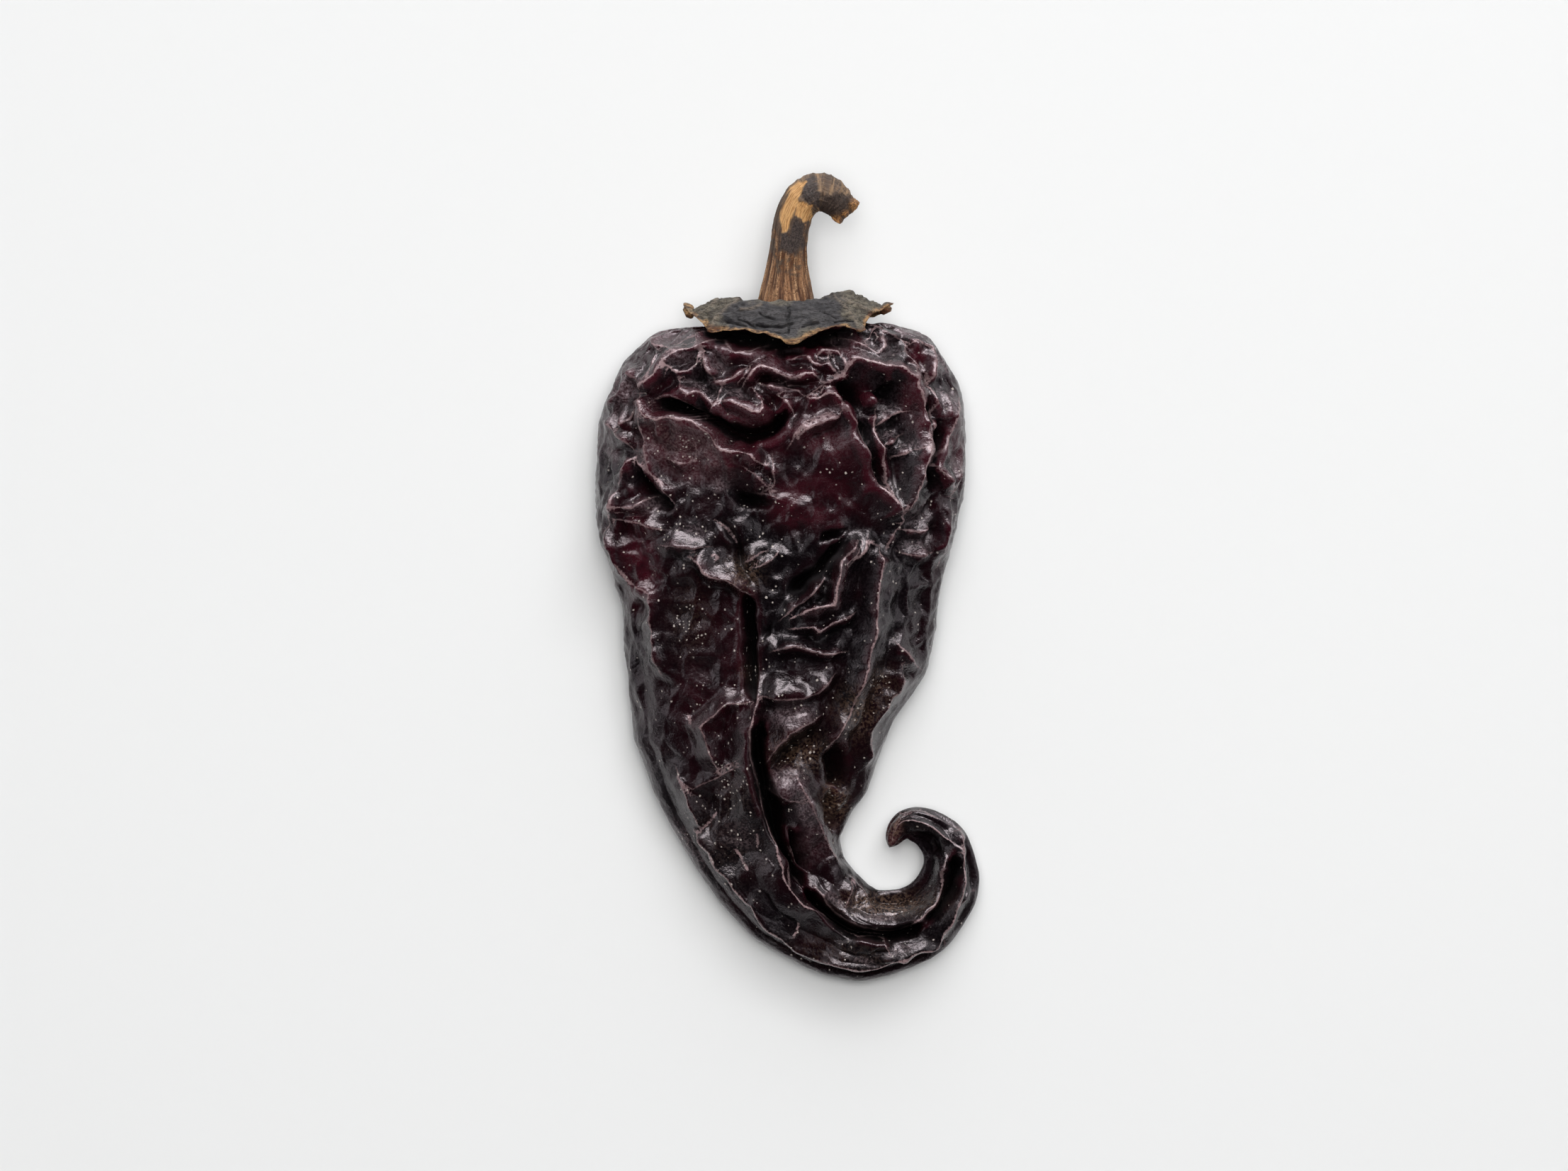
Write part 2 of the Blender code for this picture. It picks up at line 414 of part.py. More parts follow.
def calyx_place(along_share, around_share):
    """Outer skin from the hub over the crest to the rim, then back inside to the hub."""
    spokes = np.array(CALYX_SPOKES, dtype=float)
    knots = np.concatenate((spokes[:, 0], [360.0])) / 360.0
    outer = along_share <= 0.5
    share = np.where(outer, along_share * 2.0, (1.0 - along_share) * 2.0)
    turns = [np.concatenate((spokes[:, k], spokes[:1, k])) for k in range(1, 7)]
    crest = np.stack([np.interp(around_share, knots, turns[k]) for k in range(3)], axis=1)
    rim = np.stack([np.interp(around_share, knots, turns[k]) for k in range(3, 6)], axis=1)
    hub = np.array(CALYX_HUB)
    first = np.clip(share / 0.6, 0.0, 1.0)[:, None]
    second = np.clip((share - 0.6) / 0.4, 0.0, 1.0)[:, None]
    spots = hub + (crest - hub) * first + (rim - crest) * second
    seat = np.clip((0.95 - first[:, 0]) / 0.22, 0.0, 1.0)
    spots[:, 1] -= CALYX_SEAT_DEPTH * seat
    ripple = 0.35 * np.sin(around_share * 2.0 * np.pi * 11.0) * np.clip(share * 2.0 - 0.5, 0.0, 1.0)
    spots[:, 1] += ripple
    inward = np.where(outer, 0.0, CALYX_THICKNESS) * np.clip((1.0 - share) * 6.0, 0.0, 1.0)
    spots[:, 1] -= inward * np.where(share < 0.6, 1.0, 0.55)
    toward = spots - np.array((hub[0], 46.0, hub[2]))
    radial = np.stack((toward[:, 0], np.zeros(len(toward)), toward[:, 2]), axis=1)
    radial /= np.maximum(np.linalg.norm(radial, axis=1), 1e-6)[:, None]
    spots -= radial * (inward * np.where(share < 0.6, 0.0, 0.9))[:, None]
    return spots


def stem_place(along_share, around_share):
    """A ribbed tube along the stem's line, rounded shut at both ends."""
    line = np.array(STEM_LINE)
    steps = np.linalg.norm(np.diff(line[:, :3], axis=0), axis=1)
    marks = np.concatenate(([0.0], np.cumsum(steps))) / steps.sum()
    share = np.clip((along_share - 0.06) / 0.88, 0.0, 1.0)
    centre = np.stack([eased(share, marks, line[:, k], 0.03) for k in range(3)], axis=1)
    ahead = np.stack([eased(np.clip(share + 0.02, 0, 1), marks, line[:, k], 0.03) for k in range(3)], axis=1)
    behind = np.stack([eased(np.clip(share - 0.02, 0, 1), marks, line[:, k], 0.03) for k in range(3)], axis=1)
    forward = ahead - behind
    forward /= np.linalg.norm(forward, axis=1)[:, None]
    up = np.array((0.0, 0.0, 1.0))
    side = np.cross(forward, up)
    side /= np.linalg.norm(side, axis=1)[:, None]
    rise = np.cross(side, forward)
    turn = around_share * 2.0 * np.pi
    close = np.clip(np.minimum(along_share, 1.0 - along_share) / 0.06, 0.0, 1.0)
    radius = eased(share, marks, line[:, 3], 0.03)
    radius = radius + STEM_RIB_HEIGHT * np.cos(STEM_RIBS * turn + 3.0 * share)
    radius = radius * close
    return centre + radius[:, None] * (np.cos(turn)[:, None] * side + np.sin(turn)[:, None] * rise)


def give_material(item, colour, roughness):
    material = bpy.data.materials.new(item.name + "_skin")
    material.use_nodes = True
    shader = material.node_tree.nodes["Principled BSDF"]
    shader.inputs["Base Color"].default_value = (*colour, 1.0)
    shader.inputs["Roughness"].default_value = roughness
    shader.inputs["Metallic"].default_value = 0.0
    item.data.materials.append(material)


def main():
    remove_everything()
    collection = bpy.data.collections.new("ancho_chili")
    bpy.context.scene.collection.children.link(collection)
    pod = mapped_sphere("pod", POD_AROUND, POD_ALONG, pod_place)
    calyx = mapped_sphere("calyx", CALYX_AROUND, CALYX_ALONG, calyx_place)
    stem = mapped_sphere("stem", STEM_AROUND, STEM_ALONG, stem_place)
    give_material(pod, (0.050, 0.012, 0.016), 0.42)
    give_material(calyx, (0.150, 0.125, 0.110), 0.80)
    give_material(stem, (0.300, 0.170, 0.090), 0.75)
    for item in (pod, calyx, stem):
        collection.objects.link(item)


main()
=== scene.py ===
import math

import bpy
import numpy as np
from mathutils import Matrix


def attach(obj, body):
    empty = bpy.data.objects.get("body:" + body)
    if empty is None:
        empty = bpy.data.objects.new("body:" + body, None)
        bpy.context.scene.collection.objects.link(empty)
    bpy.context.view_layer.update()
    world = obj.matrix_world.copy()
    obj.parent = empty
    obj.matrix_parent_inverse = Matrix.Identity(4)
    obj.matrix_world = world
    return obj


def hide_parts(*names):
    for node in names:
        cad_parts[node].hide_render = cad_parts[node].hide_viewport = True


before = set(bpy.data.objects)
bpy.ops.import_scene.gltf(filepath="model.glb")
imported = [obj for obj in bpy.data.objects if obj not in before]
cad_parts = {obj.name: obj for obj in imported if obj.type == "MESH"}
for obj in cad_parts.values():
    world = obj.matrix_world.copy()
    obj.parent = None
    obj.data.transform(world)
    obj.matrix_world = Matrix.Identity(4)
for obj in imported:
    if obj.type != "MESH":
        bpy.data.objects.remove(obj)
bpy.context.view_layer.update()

mm = 0.001
farAway = 1e9
tiny = 1e-6

# Shapes are worked out in millimetres. gridPiece puts them into meshes in metres.


# shared number fields

hashSteps = (127.1, 311.7, 74.7)
seedStep = 19.19
hashSpread = 43758.5453
easeSteps = 7


def hashed(cells, seed):
    # a repeatable number from 0 to 1 per whole-numbered cell: the fraction of a large sine
    east, north, high = hashSteps
    mixed = cells[:, 0] * east + cells[:, 1] * north + cells[:, 2] * high + seed * seedStep
    return np.modf(np.abs(np.sin(mixed) * hashSpread))[0]


def softNoise(points, cell, seed):
    # value noise: random numbers at the corners of a lattice, blended by 3t^2 - 2t^3, from -1 to 1
    scaled = points / np.array(cell)
    home = np.floor(scaled)
    part = scaled - home
    ease = part * part * (3.0 - 2.0 * part)
    total = np.zeros(len(points))
    for corner in np.ndindex(2, 2, 2):
        corner = np.array(corner)
        weight = np.prod(np.where(corner == 1, ease, 1.0 - ease), axis=1)
        total += weight * hashed(home + corner, seed)
    return total * 2.0 - 1.0


def layeredNoise(points, cell, seed, layers):
    # softNoise summed over layers, each half the size and half the height of the one before
    cell = np.array(cell, dtype=float)
    return sum(softNoise(points, cell / 2 ** k, seed + 5 * k) / 2 ** k for k in range(layers))


def cellGap(points, cell, seed):
    # how much farther the second nearest jittered cell centre is than the nearest, in cells
    scaled = points / np.array(cell)
    home = np.floor(scaled)
    nearest = np.full(len(points), farAway)
    second = np.full(len(points), farAway)
    for shift in np.ndindex(3, 3, 3):
        corner = home + np.array(shift) - 1.0
        jitter = np.stack([hashed(corner, seed + k) for k in range(3)], axis=1)
        away = np.linalg.norm(corner + jitter - scaled, axis=1)
        second = np.minimum(second, np.maximum(nearest, away))
        nearest = np.minimum(nearest, away)
    return second - nearest


def cellCrests(points, cell, seed, sharp):
    # crests along the cell borders: exp(-sharp gap)
    return np.exp(-sharp * cellGap(points, cell, seed))


def cellFacets(points, cell, seed):
    # straight facets falling from the cell borders to the cell middles: 1 - 1.2 gap, never below 0
    return np.maximum(0.0, 1.0 - 1.2 * cellGap(points, cell, seed))


def eased(place, knots, values, spread):
    # straight runs between knots, each corner rounded by averaging over the spread
    shifts = np.linspace(-spread, spread, easeSteps)
    return np.mean([np.interp(place + shift, knots, values) for shift in shifts], axis=0)


def ramp(values, start, width):
    # 0 up to the start, then a straight rise to 1 over the width
    return np.clip((values - start) / width, 0.0, 1.0)


def wayToRoute(spots, flatRoute):
    # nearest point of a route of straight runs: distance, way to it, side from -1 to 1 (left is +),
    # how far along it lies and the route's length
    route = np.array(flatRoute, dtype=float).reshape(-1, 2)
    runs = np.diff(route, axis=0)
    lengths = np.hypot(runs[:, 0], runs[:, 1])
    marks = np.concatenate(([0.0], np.cumsum(lengths)))
    best = np.full(len(spots), farAway)
    ways = np.zeros((len(spots), 2))
    side = np.zeros(len(spots))
    place = np.zeros(len(spots))
    for start, step, runLength, mark in zip(route, runs, lengths, marks):
        rel = spots - start
        share = np.clip(rel @ step / (step @ step), 0.0, 1.0)
        way = share[:, None] * step - rel
        length = np.hypot(way[:, 0], way[:, 1])
        closer = length < best
        best = np.where(closer, length, best)
        ways = np.where(closer[:, None], way, ways)
        offset = (step[0] * rel[:, 1] - step[1] * rel[:, 0]) / runLength
        side = np.where(closer, offset / np.maximum(length, tiny), side)
        place = np.where(closer, mark + share * runLength, place)
    return best, ways, np.clip(side, -1.0, 1.0), place, marks[-1]


def endFade(place, length, share, reach):
    # rises from the share at either end of a route to 1 within the reach
    return np.minimum(1.0, share + np.minimum(place, length - place) / reach)


def routeRelief(plan, routes, power):
    # highest over all routes of height exp(-(distance / reach)^power)
    total = np.zeros(len(plan))
    for height, reach, route in routes:
        near = wayToRoute(plan, route)[0]
        total = np.maximum(total, height * np.exp(-(near / reach) ** power))
    return total


def outlineDistance(spots, flatOutline):
    # signed distance to a closed outline, negative inside, by the crossing count of each spot
    outline = np.array(flatOutline, dtype=float).reshape(-1, 2)
    closed = np.concatenate((outline, outline[:1]))
    near = wayToRoute(spots, closed.ravel())[0]
    inside = np.zeros(len(spots), bool)
    for start, end in zip(closed[:-1], closed[1:]):
        spans = (start[1] > spots[:, 1]) != (end[1] > spots[:, 1])
        rise = end[1] - start[1] if end[1] != start[1] else tiny
        crossing = start[0] + (spots[:, 1] - start[1]) * (end[0] - start[0]) / rise
        inside ^= spans & (spots[:, 0] < crossing)
    return np.where(inside, -near, near)


def ellipseShare(plan, x, y, longRadius, shortRadius, degrees):
    # squared distance from the middle in shares of a turned ellipse's radii: 1 on its edge
    turn = math.radians(degrees)
    east, north = plan[:, 0] - x, plan[:, 1] - y
    along = (east * math.cos(turn) + north * math.sin(turn)) / longRadius
    across = (north * math.cos(turn) - east * math.sin(turn)) / shortRadius
    return along ** 2 + across ** 2


def patchFields(plan, patches, power):
    # for each share that the patches list, the highest of share exp(-(ellipse share)^power)
    fields = [np.zeros(len(plan)) for _ in patches[0][5:]]
    for x, y, longRadius, shortRadius, degrees, *shares in patches:
        patch = np.exp(-ellipseShare(plan, x, y, longRadius, shortRadius, degrees) ** power)
        fields = [np.maximum(field, share * patch) for field, share in zip(fields, shares)]
    return fields


def gridPlaces(rows, cols):
    # along runs from 0 to 1 from row to row, around from 0 to just under 1 within each row
    along, around = np.meshgrid(np.linspace(0.0, 1.0, rows), np.arange(cols) / cols, indexing="ij")
    return along.ravel(), around.ravel()


def gridFaces(rows, cols):
    # corners of the faces, and how many each has: four between two rows, three round each pole
    ring = np.arange(cols)
    nextRing = np.roll(ring, -1)
    first = 1 + np.arange(rows - 3)[:, None] * cols
    quads = np.stack((first + ring, first + nextRing, first + cols + nextRing, first + cols + ring), axis=2)
    bottomRow = 1 + (rows - 3) * cols
    capA = np.stack((np.zeros(cols, int), 1 + nextRing, 1 + ring), axis=1)
    capB = np.stack((np.full(cols, bottomRow + cols), bottomRow + ring, bottomRow + nextRing), axis=1)
    corners = np.concatenate((quads.ravel(), capA.ravel(), capB.ravel()))
    return corners, np.concatenate((np.full(quads.size // 4, 4), np.full(2 * cols, 3)))


def signedVolume(mesh):
    # sum over triangles of a . (b x c) / 6
    mesh.calc_loop_triangles()
    index = np.zeros(len(mesh.loop_triangles) * 3, int)
    mesh.loop_triangles.foreach_get("vertices", index)
    co = np.zeros(len(mesh.vertices) * 3)
    mesh.vertices.foreach_get("co", co)
    tri = co.reshape(-1, 3)[index.reshape(-1, 3)]
    return float(np.sum(tri[:, 0] * np.cross(tri[:, 1], tri[:, 2])) / 6.0)


def poled(grid):
    # one point for the first and for the last row, which are poles, and all points between them
    return np.concatenate((grid[0, :1], grid[1:-1].reshape(-1, grid.shape[2]), grid[-1, :1]))


def gridPiece(name, spots, rows, cols, fields):
    # rows of points round a closed section, with the fields as attributes of one or three numbers
    verts = poled(spots.reshape(rows, cols, 3) * mm)
    corners, sizes = gridFaces(rows, cols)
    mesh = bpy.data.meshes.new(name)
    mesh.vertices.add(len(verts))
    mesh.vertices.foreach_set("co", verts.ravel())
    mesh.loops.add(len(corners))
    mesh.loops.foreach_set("vertex_index", corners)
    mesh.polygons.add(len(sizes))
    mesh.polygons.foreach_set("loop_start", np.concatenate(([0], np.cumsum(sizes)[:-1])))
    mesh.polygons.foreach_set("use_smooth", np.ones(len(sizes), bool))
    mesh.update(calc_edges=True)
    mesh.validate()
    for field, values in fields.items():
        grid = values.reshape(rows, cols, -1)
        kind, slot = ("FLOAT", "value") if grid.shape[2] == 1 else ("FLOAT_VECTOR", "vector")
        attribute = mesh.attributes.new(field, kind, "POINT")
        attribute.data.foreach_set(slot, poled(grid).astype(np.float32).ravel())
    piece = bpy.data.objects.new(name, mesh)
    bpy.context.scene.collection.objects.link(piece)
    volume = signedVolume(mesh)
    if volume < 0.0:
        mesh.flip_normals()
    print(name, "faces", len(sizes), "volume ml", round(abs(volume) * 1e6, 2))
    return piece


def gridNormals(spots, rows, cols):
    # cross product of the steps along and around, all turned to point away from the rows' middles
    grid = spots.reshape(rows, cols, 3)
    around = np.roll(grid, -1, axis=1) - np.roll(grid, 1, axis=1)
    normal = np.cross(np.gradient(grid, axis=0), around)
    normal /= np.maximum(np.linalg.norm(normal, axis=2), tiny)[:, :, None]
    outward = np.sum(normal * (grid - grid.mean(axis=1, keepdims=True)), axis=(1, 2))
    return (normal if np.sign(outward).sum() >= 0 else -normal).reshape(-1, 3)


def blurred(values, rows, cols, rounds):
    # each point becomes the average of itself and its four neighbours, several times over
    grid = values.reshape(rows, cols).copy()
    for _ in range(rounds):
        down = np.concatenate((grid[1:], grid[-1:]))
        up = np.concatenate((grid[:1], grid[:-1]))
        grid = 0.2 * (grid + down + up + np.roll(grid, 1, axis=1) + np.roll(grid, -1, axis=1))
    return grid.ravel()


# pod

podLook = {
    "rows": 392, "cols": 250,
    "topShare": 0.74, "evenness": 0.3,  # share of the points above the rails, and how evenly they lie
    "topFullness": 0.72, "underFullness": 0.62, "railRound": 0.006, "heightRound": 0.012,
    "upperRise": 2.8, "lowerRise": 1.6, "endRise": 16.0,  # how fast the folds begin at rails and ends
    "crestGain": 1.8, "crestSpread": 2.1, "crestRound": 0.10, "crestPower": 1.2, "crestFade": (0.45, 3.0),
    "tallest": 2.2, "tallSoft": 1.2, "paleReach": 0.9, "pull": 0.75, "pullReach": 0.8, "offsetLimit": 1.5,
    "creaseGain": 1.35, "creaseEnd": 0.35, "creaseFade": (0.1, 2.4), "lobeGain": 1.1, "lobePower": 0.7,
    "lowering": 2.1, "sideShare": 0.6,  # how far all folds sit below the rails' skin and lean outwards
    "wobble": 0.26, "wobbleCell": (2.6, 2.6, 4.0), "wobbleSeeds": (101, 107),
    "uneven": 0.32, "unevenCell": (4.5, 4.5, 6.0), "unevenSeed": 113,
    "grain": 0.05, "grainCell": (1.6, 2.2, 1.6), "grainSeed": 71,
    "sharpen": 0.5, "sharpenSteps": 10, "cavitySteps": 26, "railShare": 0.25, "railRise": 2.2,
    "padDepth": 3.0, "scratchAndGlintReach": 2.0,
}

# how strong each form is from the tail to the shoulder: y of both ends of its run, strength there
podRuns = {"crests": ((-46.0, -20.0), (0.66, 1.0)), "facets": ((-46.0, -24.0), (0.35, 1.0)),
           "wrinkles": ((-30.0, 14.0), (0.4, 1.4)), "flankFacets": ((-18.0, 6.0), (0.5, 1.8)),
           "flankCells": ((-18.0, 6.0), (0.25, 1.0))}

# left rail x, y and right rail x, y of each section, from the shoulder to the tip of the tail
podRails = np.array((
    (0.0, 44.2, 0.0, 44.2), (-6.5, 44.0, 6.5, 44.3), (-12.0, 43.8, 12.0, 44.5),
    (-18.0, 44.1, 17.5, 44.9), (-23.5, 43.4, 22.0, 43.6), (-26.0, 41.2, 24.8, 42.2),
    (-28.0, 39.0, 27.0, 39.3), (-29.6, 36.8, 28.6, 36.3), (-31.0, 33.2, 30.2, 33.2),
    (-32.4, 30.2, 30.6, 30.0), (-33.2, 27.0, 30.8, 27.0), (-33.5, 22.0, 31.1, 21.5),
    (-33.8, 17.0, 31.0, 16.5), (-33.8, 12.0, 29.8, 11.5), (-33.0, 6.5, 28.6, 6.0),
    (-31.3, 2.3, 27.2, 1.0), (-29.8, -3.5, 26.4, -4.0), (-29.0, -10.0, 25.6, -10.0),
    (-28.6, -16.0, 24.3, -16.3), (-27.7, -23.0, 21.2, -21.2), (-27.3, -28.0, 17.8, -26.5),
    (-25.4, -33.0, 15.7, -32.0), (-23.4, -38.5, 13.6, -38.0), (-20.6, -44.0, 10.8, -41.5),
    (-17.0, -50.0, 8.9, -46.0), (-12.5, -56.7, 9.6, -49.2), (-6.5, -63.2, 11.8, -52.0),
    (0.0, -67.2, 14.0, -54.2), (6.5, -70.3, 16.0, -55.2), (12.5, -71.3, 17.8, -55.2),
    (18.5, -70.0, 19.6, -55.0), (24.0, -67.9, 21.2, -54.4), (28.0, -65.3, 22.5, -53.3),
    (31.2, -60.8, 23.5, -51.8), (33.3, -57.0, 24.0, -50.4), (33.8, -52.5, 23.9, -49.0),
    (32.6, -48.0, 23.3, -47.6), (31.0, -44.2, 22.4, -46.7), (28.0, -42.0, 21.3, -46.3),
    (24.0, -40.3, 21.0, -46.0), (20.5, -40.5, 20.6, -46.2), (18.0, -42.2, 20.0, -46.6),
    (17.1, -44.8, 19.5, -47.0), (17.0, -46.3, 18.9, -47.4), (17.8, -47.6, 17.8, -47.6)))

# section number, underside, widest level and top
podHeights = np.array((
    (0, 12.0, 12.0, 12.0), (1, 6.0, 11.5, 15.0), (2, 4.0, 11.0, 17.0), (3, 2.8, 10.5, 18.6),
    (5, 1.8, 9.5, 21.4), (7, 1.2, 9.0, 23.6), (10, 1.0, 9.0, 24.6), (14, 1.0, 9.0, 24.0),
    (18, 1.0, 8.5, 21.5), (22, 1.0, 7.5, 18.5), (25, 1.2, 6.5, 15.5), (29, 1.6, 6.0, 13.8),
    (33, 2.2, 6.5, 12.8), (37, 3.2, 6.8, 11.5), (40, 4.0, 6.8, 10.2), (42, 4.6, 6.8, 9.4),
    (44, 6.8, 6.8, 6.8)))

